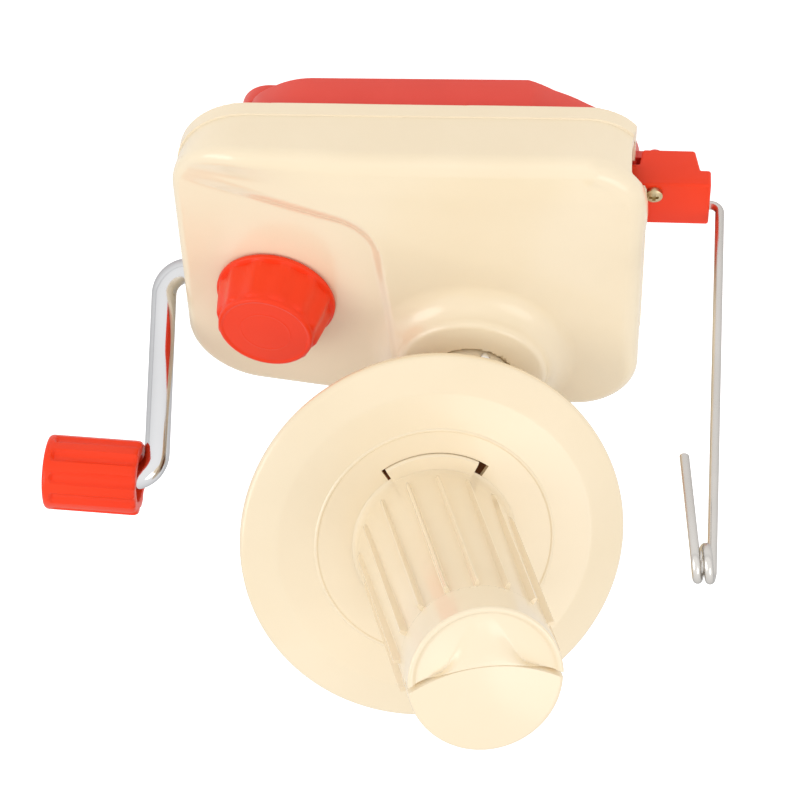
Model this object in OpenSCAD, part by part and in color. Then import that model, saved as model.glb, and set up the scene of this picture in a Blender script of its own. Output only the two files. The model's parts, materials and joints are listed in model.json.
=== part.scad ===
// Yarn ball winder, table clamped, with a leaning spool.
// Row frame: +Z up, +X from the crank end to the guide end, -Y to the back.
// The origin is the centre of the base's underside, which sits on the table.

/* [Casing] */
// Length of the cream casing
casing_l = 126.5; // [124:0.5:134]
// Width of the cream casing
casing_w = 97.5; // [96:0.5:104]
// Height of the cream casing above the red base
casing_h = 23; // [22:0.5:26]
// Height of the red base
base_h = 11; // [10.5:0.5:13]
// Wall of the moulded shells
wall = 2.4; // [2:0.1:2.8]
// Corner radius of the casing, seen from above
casing_corner = 17.5; // [14:0.5:18]
// Rounding of the casing's upper edges
edge_round = 6; // [4:0.5:7]
// How far the red base stops short of the casing at the crank end
base_setback = 16.2; // [14:0.2:17]
// Corner radius of the base at the crank end
base_corner = 20; // [14:0.5:21]
// Corner radius of the base at the guide end
base_round_end = 31; // [28:0.5:35]
// Radius of the neck at its shoulder
neck_r = 21; // [19:0.5:22]
// Height of the neck above the casing's face
neck_h = 7; // [6:0.5:9]
// Radius of the neck's opening
neck_open_r = 12; // [11.8:0.1:13]

/* [Shafts] */
// Main shaft, distance from the centre towards the guide
main_x = 16.8; // [16:0.1:18]
// Main shaft, distance from the centre line towards the back
main_back = 26; // [25.6:0.1:26.4]
// Crank shaft, distance from the centre line towards the back
crank_back = 18; // [17.8:0.1:18.2]
// Height of the crank shaft
crank_z = 12.5; // [12.3:0.1:12.8]
// Radius of the fixed centre post
post_r = 2.5; // [2:0.1:2.6]
// Outer radius of the head's sleeve
sleeve_r = 4.5; // [4.2:0.1:4.6]
// Radius of the cluster gear's shaft
cluster_shaft_r = 2; // [1.8:0.1:2.1]

/* [Gears] */
// Module of the spur gears and the crown gear
gear_module = 1; // [0.96:0.01:1.02]
// Teeth of the crown gear on the crank shaft
crown_teeth = 16; // [16:1:16]
// Teeth of the cluster's small pinion
cluster_small_teeth = 10; // [10:1:10]
// Teeth of the cluster's large gear
cluster_large_teeth = 30; // [29:1:31]
// Teeth of the head's pinion
head_teeth = 12; // [12:1:13]
// Teeth of the fixed sun gear
sun_teeth = 12; // [11:1:13]
// Teeth of the spool's gear
spool_teeth = 44; // [40:1:46]
// Play between meshing tooth flanks
backlash = 0.35; // [0.3:0.05:0.45]
// Width of a spur gear's teeth
gear_face = 4; // [3.5:0.1:4.4]

/* [Spool] */
// Lean of the spool from the main shaft
spool_tilt = 33.2; // [32:0.2:34]
// Direction of the lean, from +X towards +Y
spool_azimuth = 69.7; // [60:0.1:80]
// Height at which the spool's axis crosses the main shaft
cross_z = 119.5; // [118:0.1:121]
// From that crossing down to the disc's rim, along the spool
disc_drop = 45.5; // [45:0.5:48]
// From that crossing up to the cap's rim, along the spool
cap_rise = 47.7; // [44:0.1:52]
// Radius of the disc
disc_r = 53.5; // [50:0.5:54]
// Radius of the disc's flat middle
disc_flat_r = 43.5; // [42:0.5:46]
// Height of the disc's flat middle above its rim
disc_bevel = 2.5; // [2:0.1:3.4]
// Thickness of the disc
disc_t = 2.2; // [1.8:0.1:2.4]
// Radius of the tube at its foot
tube_foot_r = 21.5; // [21:0.1:22]
// Radius of the tube at its top
tube_top_r = 18.7; // [18:0.1:19.4]
// Wall of the tube
tube_wall = 2; // [1.6:0.1:2.2]
// Raised ribs along the tube
rib_count = 16; // [12:1:18]
// Height of the ribs over the tube, at its foot
rib_low = 0.8; // [0.6:0.1:1.2]
// Height of the ribs over the tube, at its top
rib_high = 2.5; // [1.2:0.1:2.6]
// Radius of the cap
cap_r = 19.5; // [19.4:0.1:20.5]
// Radius of the leaning axle
axle_r = 3; // [2.6:0.1:3.2]
// Radius of the rolling gear's cone at its wide end, from the crossing
cone_far = 68; // [67.6:0.1:68.4]
// Length of the bevel teeth along the cone
cone_face = 4; // [3:0.1:4.4]

/* [Crank] */
// Radius of the crank's rod
rod_r = 3.55; // [3:0.05:3.6]
// Distance from the crank shaft to the grip's axis
crank_arm = 60; // [54:0.5:66]
// Distance from the casing's end to the crank arm
arm_reach = 8; // [7.6:0.1:12]
// Centre-line radius of the rod's bends
bend_r = 7; // [6:0.5:8]
// Lean of the arm from upright, at rest
crank_rest = 28; // [0:1:90]
// Lean of the arm towards the casing
arm_lean = 0.8; // [0:0.1:1.5]
// Droop of the handle's outer end towards the crank shaft
handle_tilt = 2.5; // [0:0.1:3]
// Length of the grip
grip_l = 26.2; // [24:0.2:32]
// Radius of the grip
grip_r = 10.5; // [9.5:0.1:12]
// Flutes round the grip
grip_flutes = 10; // [8:1:14]

/* [Clamp] */
// Distance of the clamp screw from the centre, where it crosses the seat
clamp_out = 33.6; // [33:0.1:34]
// Distance of the clamp screw from the centre line towards the back
clamp_back = 9.5; // [9:0.1:9.8]
// Lean of the clamp screw towards the crank end
clamp_tilt = 8.1; // [7.6:0.1:8.4]
// Height of the knob's seat along the screw
knob_seat = 28.7; // [28.2:0.1:29.2]
// Radius of the knob at its flange
knob_r = 17.5; // [15:0.5:18.5]
// Radius of the knob's face
knob_face_r = 13.6; // [11.5:0.1:14.5]
// Height of the knob
knob_h = 14.2; // [12:0.1:16]
// Flutes round the knob
knob_flutes = 12; // [10:1:16]
// Depth of a flute
flute_depth = 0.8; // [0.5:0.1:1.2]
// Radius of the clamp screw
screw_r = 3; // [2.6:0.1:3.1]
// Thickest table edge that the clamp takes
clamp_open = 32; // [24:1:36]
// Radius of the jaw's guide pins
pin_r = 2.5; // [2:0.1:2.7]
// Distance of each guide pin from the screw
pin_pitch = 7.5; // [7.3:0.1:7.7]
// Length of the jaw towards the guide end
jaw_l = 46; // [40:1:52]
// Width of the jaw
jaw_w = 74.8; // [70:0.2:75]
// Thickness of the jaw's plate
jaw_t = 5; // [4:0.2:6]
// Thickness of the jaw's rubber pad
pad_t = 1.6; // [1.2:0.1:2]
// Depth of the bay in the base's underside that the closed jaw lies under
bay_depth = 0.6; // [0.4:0.1:1]
// Gap between the jaw's edge and the edge of that bay
bay_gap = 1; // [0.6:0.1:1.4]

/* [Guide] */
// Width of the bracket
bracket_w = 15.4; // [14:0.2:16]
// Height of the bracket
bracket_h = 13; // [12.6:0.1:14]
// How far the bracket stands out from the casing
bracket_out = 17.2; // [15:0.1:19]
// Radius of the guide wire
wire_r = 1.2; // [1.1:0.05:1.3]
// Height of the eye's centre above the seat
eye_z = 140; // [130:0.5:150]
// Centre-line radius of the eye's coil
eye_r = 3.85; // [3.4:0.05:4.4]
// Length of the wire's tail below the eye
tail_l = 30; // [25:0.5:45]
// Lean of the wire towards the spool
wire_lean = 1.5; // [0:0.1:2.5]
// Spread of the wire's tail from its leg
tail_lean = 6.3; // [0:0.1:8]

/* [Fits] */
// Radial clearance of a shaft that turns in its bore
run_gap = 0.05; // [0.02:0.01:0.09]
// Gap between faces that turn or slide past each other
face_gap = 0.1; // [0.05:0.01:0.2]
// Gap round pieces that pass each other freely
free_gap = 0.4; // [0.3:0.05:0.5]

/* [Hidden] */
$fn = 64;

cream = [0.96, 0.90, 0.77];
red = [0.92, 0.22, 0.13];
steel = [0.75, 0.75, 0.76];
white_nylon = [0.93, 0.93, 0.90];
brass = [0.80, 0.65, 0.35];
black_rubber = [0.12, 0.12, 0.12];

end_x = casing_l / 2;
side_y = casing_w / 2;
face_z = base_h + casing_h;
roof_z = face_z - wall;
main_y = -main_back;
crank_y = -crank_back;
clamp_x = -clamp_out;
clamp_y = -clamp_back;
base_x0 = -end_x + base_setback;
base_x1 = end_x - 1.2;
base_w = casing_w - 2.5;

// Neck and main bearing, heights up the main shaft
web_z = roof_z;
web_top = face_z + 1;
bush_r = 8;
bush_flange = 1.6;
washer_z = web_top + bush_flange + run_gap;
washer_t = 0.8;
hub_z = washer_z + washer_t + run_gap;
hub_h = 10;
hub_r = neck_open_r - free_gap;
shoulder_z = face_z + neck_h;
open_z = shoulder_z + 2;

// Cluster gear: its shaft meets the crank's axis and keeps its distance from the main shaft
spur_distance = gear_module * (cluster_large_teeth + head_teeth) / 2;
cluster_x = main_x + sqrt(pow(spur_distance, 2) - pow(main_back - crank_back, 2));
crown_r = gear_module * crown_teeth / 2;
small_r = gear_module * cluster_small_teeth / 2;
tooth_out = 0.85 * gear_module;
tooth_in = 1.15 * gear_module;
crown_tip_x = cluster_x - small_r + tooth_out;
crown_face_x = cluster_x - small_r - tooth_in;
crown_t = 3.4;
mesh_z = crank_z + crown_r;
small_face = 3.6;
large_z = mesh_z + small_face / 2 + 0.8;
pinion_z = large_z - 0.2;
cluster_foot_z = mesh_z - small_face / 2 - 0.6;

// Bevel pair: pitch cones that share the crossing as their tip
sun_cone = atan(sin(spool_tilt) / (spool_teeth / sun_teeth + cos(spool_tilt)));
spool_cone = spool_tilt - sun_cone;
cone_near = cone_far - cone_face;
bevel_scale = cone_near / cone_far;
bevel_module = 2 * cone_far * sin(sun_cone) / sun_teeth;
sun_z = cross_z - cone_far * cos(sun_cone);
sun_h = cone_face * cos(sun_cone);
spool_gear_low = -cone_far * cos(spool_cone);
spool_gear_h = cone_face * cos(spool_cone);

// Heights along the spool's axis, from the crossing
rim_z = -disc_drop;
flat_z = rim_z + disc_bevel;
under_z = flat_z - disc_t;
arm_top = spool_gear_low - 2;
arm_t = 4.5;
arm_w = 15;
axle_low = arm_top - arm_t - 4.5;
tube_z = flat_z + 0.05;
plinth_h = 3;
cap_z = cap_rise - 7.7;
web_low = cap_z - 6;
web_high = cap_z - 3;
clip_t = 0.8;
window_in = 21;
window_out = 26.3;
window_arc = [-16.5, 52];
tab_arc = [-9.5, 49.5];
slit_turn = 21;
drum_r = window_in - 0.8;
disc_screw_r = 13;
thread_r = 1.3;

// Crank's end, with the arm upright before it is leant
arm_x = -end_x - arm_reach;
rod_end_x = crown_face_x - 0.6;
bush_outer_r = 4.8;
boss_r = 7.2;
pedestal_x0 = 20;
pedestal_x1 = crown_face_x - crown_t - face_gap;
grip_x1 = arm_x - rod_r - 0.4;
grip_x0 = grip_x1 - grip_l;

// Clamp
guide_sleeve_h = 6.4;
jaw_top = -0.4 - pad_t;
jaw_x0 = base_x0 - 0.6;
jaw_corner = 8;
nut_h = 5;
nut_r = 5.8;
nut_boss_r = 8;
nut_low = jaw_top - jaw_t - 6;
pin_offset = 10;
screw_low = nut_low - clamp_open - 6;

// Guide bracket
bracket_y1 = 31;
bracket_y0 = bracket_y1 - bracket_w;
bracket_z0 = 8;
bracket_z1 = bracket_z0 + bracket_h;
lug_z = bracket_z0 - 2.5;
bracket_screw_x = end_x + 2.1;
bracket_screw_y = bracket_y1 - 3.4;
bracket_head_r = 2.3;
bracket_boss_h = 1.2;
lug_y0 = bracket_y0 + 0.4;
lug_w = bracket_screw_y - lug_y0;
bracket_x0 = end_x - 6.2;
bracket_x1 = end_x + bracket_out;
toe_x = bracket_x0 + 4.25;
toe_h = 5.5;
toe_lean = 0.9;
wire_y = bracket_y0 + 3.6;
wire_z = bracket_z1 - 4;
wire_bend = 2.7;
eye_turns = 1.5;
eye_pitch = 2 * (wire_r + 0.07) + 0.45;

screw_head_depth = 3;
casing_screw_l = 17;

function sink_height(x) = (knob_seat - 0.5 + sin(clamp_tilt) * (x - clamp_x)) / cos(clamp_tilt);
// Casing screws: place, and the height that each one's boss reaches in the roof
casing_screw_spots = [[-36, 38, sink_height(-36) + 1.3], [-36, -38, sink_height(-36) - wall + 0.8],
    [44, 30, roof_z + 0.8], [30, -40, roof_z + 0.8]];
function involute(a) = tan(a) * 180 / PI - a;
function flank(r, rp, n, play) = 90 / n - play / rp * 45 / PI + involute(20)
    - involute(acos(min(1, rp * cos(20) / r)));

// Outline of a spur gear, with involute flanks and play
module gear_outline(n, m, play, out = 0.85, in = 1.15) {
    rp = n * m / 2;
    radii = [rp - in * m, max(rp - in * m + 0.05, rp * cos(20)), rp, rp + out * m];
    half = [for (r = radii) flank(r, rp, n, play)];
    polygon([for (i = [0 : n - 1]) each concat(
        [for (k = [0 : 3]) radii[k] * [cos(i * 360 / n - half[k]), sin(i * 360 / n - half[k])]],
        [for (k = [3 : -1 : 0]) radii[k] * [cos(i * 360 / n + half[k]), sin(i * 360 / n + half[k])]])]);
}

// Plan with its own corner radius at each end
module end_rounded_plan(x0, x1, w, r0, r1) {
    for (side = [-1, 1]) {
        translate([x0 + r0, side * (w / 2 - r0)]) circle(r0);
        translate([x1 - r1, side * (w / 2 - r1)]) circle(r1);
    }
    translate([x0 + r0, -w / 2]) square([x1 - r1 - x0 - r0, w]);
    translate([x0, r0 - w / 2]) square([r0 + 1, w - 2 * r0]);
    translate([x1 - r1 - 1, r1 - w / 2]) square([r1 + 1, w - 2 * r1]);
}

module base_plan(inset = 0) {
    end_rounded_plan(base_x0 + inset, base_x1 - inset, base_w - 2 * inset,
        base_corner - inset, base_round_end - inset);
}

module casing_plan(inset = 0) {
    end_rounded_plan(-end_x + inset, end_x - inset, casing_w - 2 * inset,
        casing_corner - inset, casing_corner - inset);
}

// Upright post with a rounded top edge, a corner for the casing's blended forms
module soft_post(x, y, r, top, bottom) {
    soft = min(edge_round, r - 0.5);
    translate([x, y, 0]) rotate_extrude($fn = 32) {
        translate([0, bottom]) square([r, top - bottom - soft]);
        translate([0, bottom]) square([r - soft, top - bottom]);
        translate([r - soft, top - soft]) intersection() {
            circle(soft, $fn = 24);
            square(soft);
        }
    }
}

// Casing's outer form, or its hollow when drawn in by a wall
module casing_form(inset, bottom) {
    r = casing_corner - inset;
    cx = end_x - casing_corner;
    cy = side_y - casing_corner;
    top = face_z - inset;
    flat = r - min(edge_round, r - 0.5);
    crest_x = clamp_x + (face_z * cos(clamp_tilt) - knob_seat + 0.5) / sin(clamp_tilt) + flat;
    hull() for (y = [-cy, cy]) {
        soft_post(-cx, y, r, sink_height(-cx - flat) - inset, bottom);
        soft_post(crest_x, y, r, top, bottom);
        soft_post(cx, y, r, top, bottom);
    }
    hull() {
        soft_post(casing_corner - 14, cy, r, top, bottom);
        soft_post(casing_corner - 5, -cy, r, top, bottom);
        for (y = [-cy, cy]) soft_post(cx, y, r, top, bottom);
    }
    hull() {
        soft_post(-cx - 8, cy + 8, 6 - inset, face_z - 6 - inset, bottom);
        soft_post(casing_corner - 28, cy, r - 1, top, bottom);
        soft_post(casing_corner, cy, r, top, bottom);
    }
}

// Stands its children in the clamp screw's leaning frame
module in_clamp_frame() {
    translate([clamp_x, clamp_y, 0]) rotate([0, -clamp_tilt, 0]) children();
}

// Stands its children in the spool's leaning frame, with the crossing as origin
module in_spool_frame() {
    translate([main_x, main_y, cross_z]) rotate([0, spool_tilt, spool_azimuth]) children();
}

// Cylinder along X
module x_rod(x0, x1, r, y = crank_y, z = crank_z) {
    translate([x0, y, z]) rotate([0, 90, 0]) cylinder(h = x1 - x0, r = r);
}

module ring(r_out, r_in, h) {
    difference() {
        cylinder(h = h, r = r_out);
        translate([0, 0, -1]) cylinder(h = h + 2, r = r_in);
    }
}

// Sector of a ring between two angles, 2D
module sector(r_in, r_out, from, to) {
    intersection() {
        difference() {
            circle(r_out);
            circle(r_in);
        }
        polygon([[0, 0], for (i = [0 : 4]) 2 * r_out * [cos(from + (to - from) * i / 4),
            sin(from + (to - from) * i / 4)]]);
    }
}

module neck_solid() {
    intersection() {
        translate([main_x, main_y, 0]) rotate_extrude($fn = 96) {
            difference() {
                translate([0, roof_z]) square([neck_r + neck_h - 1, neck_h + wall - 1]);
                translate([neck_r + neck_h - 1, shoulder_z - 1]) circle(neck_h - 1);
            }
            polygon([[0, roof_z], [neck_r, roof_z], [neck_r, shoulder_z - 1], [neck_r - 0.5, shoulder_z],
                [neck_open_r + 0.8, open_z], [0, open_z]]);
        }
        linear_extrude(open_z + 1) casing_plan();
    }
}

module upper_casing() {
    color(cream) difference() {
        union() {
            difference() {
                union() {
                    casing_form(0, base_h);
                    neck_solid();
                }
                difference() {
                    casing_form(wall, 0);
                    difference() {
                        linear_extrude(base_h + wall) casing_plan();
                        translate([0, 0, -1]) linear_extrude(base_h + wall + 2) base_plan(wall);
                    }
                }
                translate([0, 0, base_h - 1]) linear_extrude(2) base_plan(wall);
            }
            // Screw bosses that hang from the roof
            for (spot = casing_screw_spots) translate([spot[0], spot[1], base_h])
                cylinder(h = spot[2] - base_h, r = 3.6);
            // Crank's bearing boss
            x_rod(-end_x + 1, base_x0 + 1, boss_r);
            // Bearing plate under the neck
            translate([main_x, main_y, web_z - 1]) cylinder(h = web_top - web_z + 1, r = neck_open_r + 1);
            // Knob's seat and screw sleeve
            in_clamp_frame() translate([0, 0, knob_seat - 9]) cylinder(h = 9 - face_gap, r = 5.6);
        }
        // Neck opening, bearing bore, post for the cluster shaft
        translate([main_x, main_y, web_top]) cylinder(h = 20, r = neck_open_r);
        translate([main_x, main_y, web_z - 2]) cylinder(h = 10, r = bush_r);
        // Crank's bores
        x_rod(-end_x - 1, -end_x + 9.2, bush_outer_r);
        x_rod(-end_x + 9.2, base_x0 + wall + 1, bush_outer_r + 1.5);
        // Clamp screw's hole
        in_clamp_frame() cylinder(h = 60, r = screw_r + free_gap);
        // Screw pilots
        for (spot = casing_screw_spots) translate([spot[0], spot[1], base_h - 1])
            cylinder(h = casing_screw_l - base_h + screw_head_depth + 1.5, r = thread_r);
        // Cut-away for the guide bracket and the open corner beside it
        translate([bracket_x0 - 1, bracket_y0 - free_gap, 0])
            cube([30, bracket_w + 2 * free_gap, bracket_z1 + free_gap]);
        translate([bracket_screw_x, bracket_screw_y, bracket_z1]) cylinder(h = 2.6, r = bracket_head_r + free_gap);
        translate([end_x - 3, bracket_y1, 0]) cube([10, side_y, bracket_z1 + 6]);
        // Blind seat for the cluster shaft's upper end
        translate([cluster_x, crank_y, roof_z - 1]) cylinder(h = 2.2, r = cluster_shaft_r);
    }
}

module base_shell() {
    color(red) difference() {
        union() {
            difference() {
                linear_extrude(base_h) base_plan();
                translate([0, 0, wall]) linear_extrude(base_h) base_plan(wall);
            }
            // Screw pillars
            for (spot = casing_screw_spots) translate([spot[0], spot[1], 0]) cylinder(h = base_h, r = 4.4);
            // Posts that hold the centre post and the cluster shaft
            translate([main_x, main_y, 0]) cylinder(h = 17, r = 4.2);
            translate([cluster_x, crank_y, 0]) cylinder(h = cluster_foot_z, r = 3.2);
            // Pedestal of the inner crank bush
            translate([pedestal_x0, crank_y - 6, 0])
                cube([pedestal_x1 - pedestal_x0, 12, crank_z + 6.5]);
            // Sleeves round the clamp's pins
            for (side = [-1, 1]) in_clamp_frame() translate([pin_offset, side * pin_pitch, 0])
                cylinder(h = guide_sleeve_h, r = pin_r + 2);
            // Lug that carries the guide bracket
            translate([end_x - 13, lug_y0, lug_z]) cube([18.6, lug_w, bracket_z0 - lug_z]);
            translate([bracket_screw_x, bracket_screw_y, bracket_z0 - bracket_boss_h])
                cylinder(h = bracket_boss_h, r = thread_r + 0.8);
        }
        // Screw heads and shanks
        for (spot = casing_screw_spots) translate([spot[0], spot[1], -1]) {
            cylinder(h = screw_head_depth + 1, r = 3);
            cylinder(h = base_h + 3, r = thread_r + 0.3);
        }
        // Seats of the fixed shafts
        translate([main_x, main_y, 1.5]) cylinder(h = 20, r = post_r);
        translate([cluster_x, crank_y, 1.5]) cylinder(h = 20, r = cluster_shaft_r);
        // Crank's way in and its inner bearing
        x_rod(base_x0 - 1, base_x0 + wall + 1, boss_r + free_gap);
        x_rod(pedestal_x0 - 1, pedestal_x1 + 1, bush_outer_r);
        // Clamp screw and pins
        in_clamp_frame() {
            translate([0, 0, -8]) cylinder(h = 30, r = screw_r + free_gap);
            for (side = [-1, 1]) translate([pin_offset, side * pin_pitch, -8]) cylinder(h = 30, r = pin_r);
        }
        // Shallow bay over the closed jaw
        translate([base_x0 - 1, -jaw_w / 2 - bay_gap, -1])
            cube([jaw_x0 + jaw_l + bay_gap - base_x0 + 1, jaw_w + 2 * bay_gap, bay_depth + 1]);
        // Notch for the bracket and its screw's pilot
        translate([toe_x - free_gap, bracket_y0 - free_gap, bracket_z0]) cube([40, bracket_w + 2 * free_gap, 20]);
        translate([bracket_screw_x, bracket_screw_y, 0]) cylinder(h = 20, r = thread_r);
    }
}

module pan_screw(head_r, head_h, shank_l) {
    translate([0, 0, -shank_l]) cylinder(h = shank_l, r = thread_r);
    difference() {
        intersection() {
            cylinder(h = head_h, r = head_r);
            translate([0, 0, head_h - 2 * head_r]) sphere(2 * head_r);
        }
        for (a = [0, 90]) rotate(a) translate([-head_r * 0.55, -0.45, head_h - 1]) cube([head_r * 1.1, 0.9, 2]);
    }
}

module casing_screws() {
    color(steel) for (spot = casing_screw_spots)
        translate([spot[0], spot[1], screw_head_depth]) mirror([0, 0, 1]) pan_screw(2.7, 1.8, casing_screw_l);
}

module guide_bracket() {
    step_z = 7.2;
    color(red) difference() {
        translate([0, bracket_y1, bracket_z0]) rotate([90, 0, 0]) linear_extrude(bracket_w)
            polygon([[toe_x + toe_lean, 0], [bracket_x1 - 4.2, 0], [bracket_x1 - 2.8, step_z], [bracket_x1, step_z],
                [bracket_x1, bracket_h], [bracket_x0, bracket_h], [bracket_x0, toe_h], [toe_x, toe_h]]);
        translate([bracket_screw_x, bracket_screw_y, 0]) cylinder(h = 40, r = thread_r + 0.2);
        x_rod(bracket_x0 + 8, bracket_x1 + 1, wire_r + run_gap, wire_y, wire_z);
    }
}

module bracket_screw() {
    color(steel) translate([bracket_screw_x, bracket_screw_y, bracket_z1]) 
        pan_screw(bracket_head_r, 1.9, bracket_h + bracket_boss_h - 0.2);
}

// Guide wire's centre line: bend, leg, coil about X, tail; it starts along +X and leans towards the spool
function wire_path(leg) = let (bend = [for (i = [0 : 6]) let (a = -90 - wire_lean + i * (90 + wire_lean) / 6)
        [[wire_bend * cos(a), 0, wire_bend * sin(a)], [cos(a), 0, sin(a)], [0, 1, 0]]],
    coil = [for (i = [0 : 36]) let (t = i * 10 * eye_turns)
        [[wire_bend - eye_pitch * t / 360, eye_r * (1 - cos(t)), leg + eye_r * sin(t)],
            [1, 0, 0], [0, cos(t), -sin(t)]]],
    tail = [[[wire_bend - eye_pitch * eye_turns - tail_l * sin(tail_lean), 2 * eye_r, leg - tail_l],
        [1, 0, 0], [0, -1, 0]]])
    concat(bend, coil, tail);

// One unbroken tube along the path, each of whose stations is a point and two cross directions
module swept_tube(path, r, sides) {
    skin = r / cos(180 / sides);
    last = len(path) - 1;
    points = [for (s = path) for (k = [0 : sides - 1])
        s[0] + skin * (cos(k * 360 / sides) * s[1] + sin(k * 360 / sides) * s[2])];
    walls = [for (i = [0 : last - 1]) for (k = [0 : sides - 1]) each [
        [i * sides + k, (i + 1) * sides + k, i * sides + (k + 1) % sides],
        [(i + 1) * sides + k, (i + 1) * sides + (k + 1) % sides, i * sides + (k + 1) % sides]]];
    ends = [[for (k = [0 : sides - 1]) k], [for (k = [sides - 1 : -1 : 0]) last * sides + k]];
    polyhedron(points, concat(walls, ends));
}

// Least gap between turns of the wire, measured on its stations a half turn or more apart
eye_stations = [for (s = wire_path(eye_z - wire_z - wire_bend)) s[0]];
eye_gap = min([for (i = [7 : len(eye_stations) - 13]) for (j = [i + 12 : len(eye_stations) - 2])
    norm(eye_stations[i] - eye_stations[j])]) - 2 * (wire_r + 0.03) / cos(15);
echo(least_gap_of_the_wire_to_itself_mm = eye_gap);

module guide_wire() {
    leg = eye_z - wire_z - wire_bend;
    color(steel) translate([bracket_x1 + 0.2, wire_y, wire_z]) {
        translate([-12, 0, 0]) rotate([0, 90, 0]) cylinder(h = 12.1, r = wire_r);
        translate([0, 0, wire_bend]) rotate([0, -wire_lean, 0]) swept_tube(wire_path(leg), wire_r + 0.03, 12);
    }
}

// Crank turned so that its arm stands at its resting lean
module in_crank_frame() {
    translate([0, crank_y, crank_z]) rotate([crank_rest, 0, 0]) children();
}

// Frame of the leaning arm, turned about the centre of the first bend
module in_arm_frame() {
    in_crank_frame() translate([arm_x + bend_r, 0, bend_r]) rotate([0, arm_lean, 0])
        translate([-arm_x - bend_r, 0, -bend_r]) children();
}

// Frame of the handle, turned about the centre of the second bend
module in_grip_frame() {
    in_arm_frame() translate([arm_x - bend_r, 0, crank_arm - bend_r]) rotate([0, -handle_tilt - arm_lean, 0])
        translate([bend_r - arm_x, 0, bend_r - crank_arm]) children();
}

// Rod's centre line from the inner end: each station is a point and two cross directions
function rod_path() = let (turn1 = 90 + arm_lean, turn2 = turn1 + handle_tilt,
    c1 = [arm_x + bend_r, bend_r],
    c2 = c1 - 2 * bend_r * [cos(arm_lean), -sin(arm_lean)] + (crank_arm - 2 * bend_r) * [sin(arm_lean), cos(arm_lean)],
    bend1 = [for (i = [0 : 10]) let (t = 270 - i * turn1 / 10)
        [[c1[0] + bend_r * cos(t), 0, c1[1] + bend_r * sin(t)], [cos(t), 0, sin(t)], [0, 1, 0]]],
    bend2 = [for (i = [0 : 10]) let (t = -arm_lean + i * turn2 / 10)
        [[c2[0] + bend_r * cos(t), 0, c2[1] + bend_r * sin(t)], [-cos(t), 0, -sin(t)], [0, 1, 0]]],
    run = arm_x - bend_r - grip_x0 - 2)
    concat([[[rod_end_x, 0, 0], [0, 0, -1], [0, 1, 0]]], bend1, bend2,
        [[bend2[10][0] - run * [cos(handle_tilt), 0, sin(handle_tilt)], bend2[10][1], bend2[10][2]]]);

module crank_rod() {
    sides = 40;
    color(steel) in_crank_frame() swept_tube(rod_path(), rod_r * cos(180 / sides), sides);
}

module crank_bush_outer() {
    color(white_nylon) difference() {
        union() {
            x_rod(-end_x, -end_x + 9.2, bush_outer_r);
            x_rod(-end_x - 1, -end_x, bush_outer_r + 1.6);
        }
        x_rod(-end_x - 2, -end_x + 10, rod_r + run_gap);
    }
}

module crank_bush_inner() {
    color(white_nylon) difference() {
        x_rod(pedestal_x0, pedestal_x1, bush_outer_r);
        x_rod(pedestal_x0 - 1, pedestal_x1 + 1, rod_r + run_gap);
    }
}

module crank_clip() {
    color(steel) difference() {
        x_rod(-end_x + 9.3, -end_x + 10.1, bush_outer_r + 1);
        x_rod(-end_x + 9, -end_x + 11, rod_r);
    }
}

module crown_gear() {
    color(white_nylon) difference() {
        union() {
            x_rod(crown_face_x - crown_t, crown_face_x, crown_r + 1.9);
            translate([crown_face_x - 0.1, crank_y, crank_z]) rotate([0, 90, 0])
                for (i = [0 : crown_teeth - 1]) rotate(i * 360 / crown_teeth)
                    translate([-crown_r, 0, 0]) rotate([90, 0, 90])
                        translate([0, 0, -1.3]) linear_extrude(2.8) polygon([[-0.72, 0], [0.72, 0],
                            [0.2, crown_tip_x - crown_face_x + 0.1], [-0.2, crown_tip_x - crown_face_x + 0.1]]);
        }
        x_rod(crown_face_x - crown_t - 1, rod_end_x, rod_r);
    }
}

module crank_grip() {
    color(red) in_grip_frame() translate([grip_x0, 0, crank_arm]) rotate([0, 90, 0]) difference() {
        cylinder(h = grip_l, r = grip_r);
        for (i = [0 : grip_flutes - 1]) rotate(i * 360 / grip_flutes)
            translate([grip_r + 1.6, 0, 2.2]) cylinder(h = grip_l, r = 2.6);
        translate([0, 0, -1]) cylinder(h = grip_l + 2, r = rod_r + run_gap);
        translate([0, 0, -1]) cylinder(h = 4.4, r = 6);
        translate([0, 0, grip_l - 9]) cylinder(h = 10, r = 6.6);
    }
}

module grip_push_nut() {
    color(steel) in_grip_frame() translate([grip_x0 + 2.4, 0, crank_arm]) rotate([0, 90, 0])
        ring(5.2, rod_r, 0.8);
}

module grip_cap() {
    color(red) in_grip_frame() translate([grip_x0, 0, crank_arm]) rotate([0, 90, 0]) {
        cylinder(h = 1.4, r = 6);
    }
}

module cluster_gear() {
    color(white_nylon) translate([cluster_x, crank_y, 0]) difference() {
        union() {
            translate([0, 0, mesh_z - small_face / 2]) rotate(180 + 180 / cluster_small_teeth)
                linear_extrude(small_face + 0.9) gear_outline(cluster_small_teeth, gear_module, backlash);
            translate([0, 0, large_z]) rotate(cluster_phase())
                linear_extrude(gear_face) gear_outline(cluster_large_teeth, gear_module, backlash);
            translate([0, 0, cluster_foot_z + face_gap]) cylinder(h = 1, r = 3.2);
            translate([0, 0, large_z + gear_face - 1]) cylinder(h = 2, r = 3.6);
        }
        cylinder(h = 60, r = cluster_shaft_r + run_gap);
    }
}

// Turn that puts a tooth of the large gear on the line to the main shaft
function cluster_phase() = atan2(main_y - crank_y, main_x - cluster_x);

module cluster_shaft() {
    color(steel) translate([cluster_x, crank_y, 1.5]) cylinder(h = roof_z - 0.5, r = cluster_shaft_r);
}

module cluster_clip() {
    color(steel) translate([cluster_x, crank_y, large_z + gear_face + 1 + face_gap])
        ring(4, cluster_shaft_r, 0.7);
}

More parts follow.
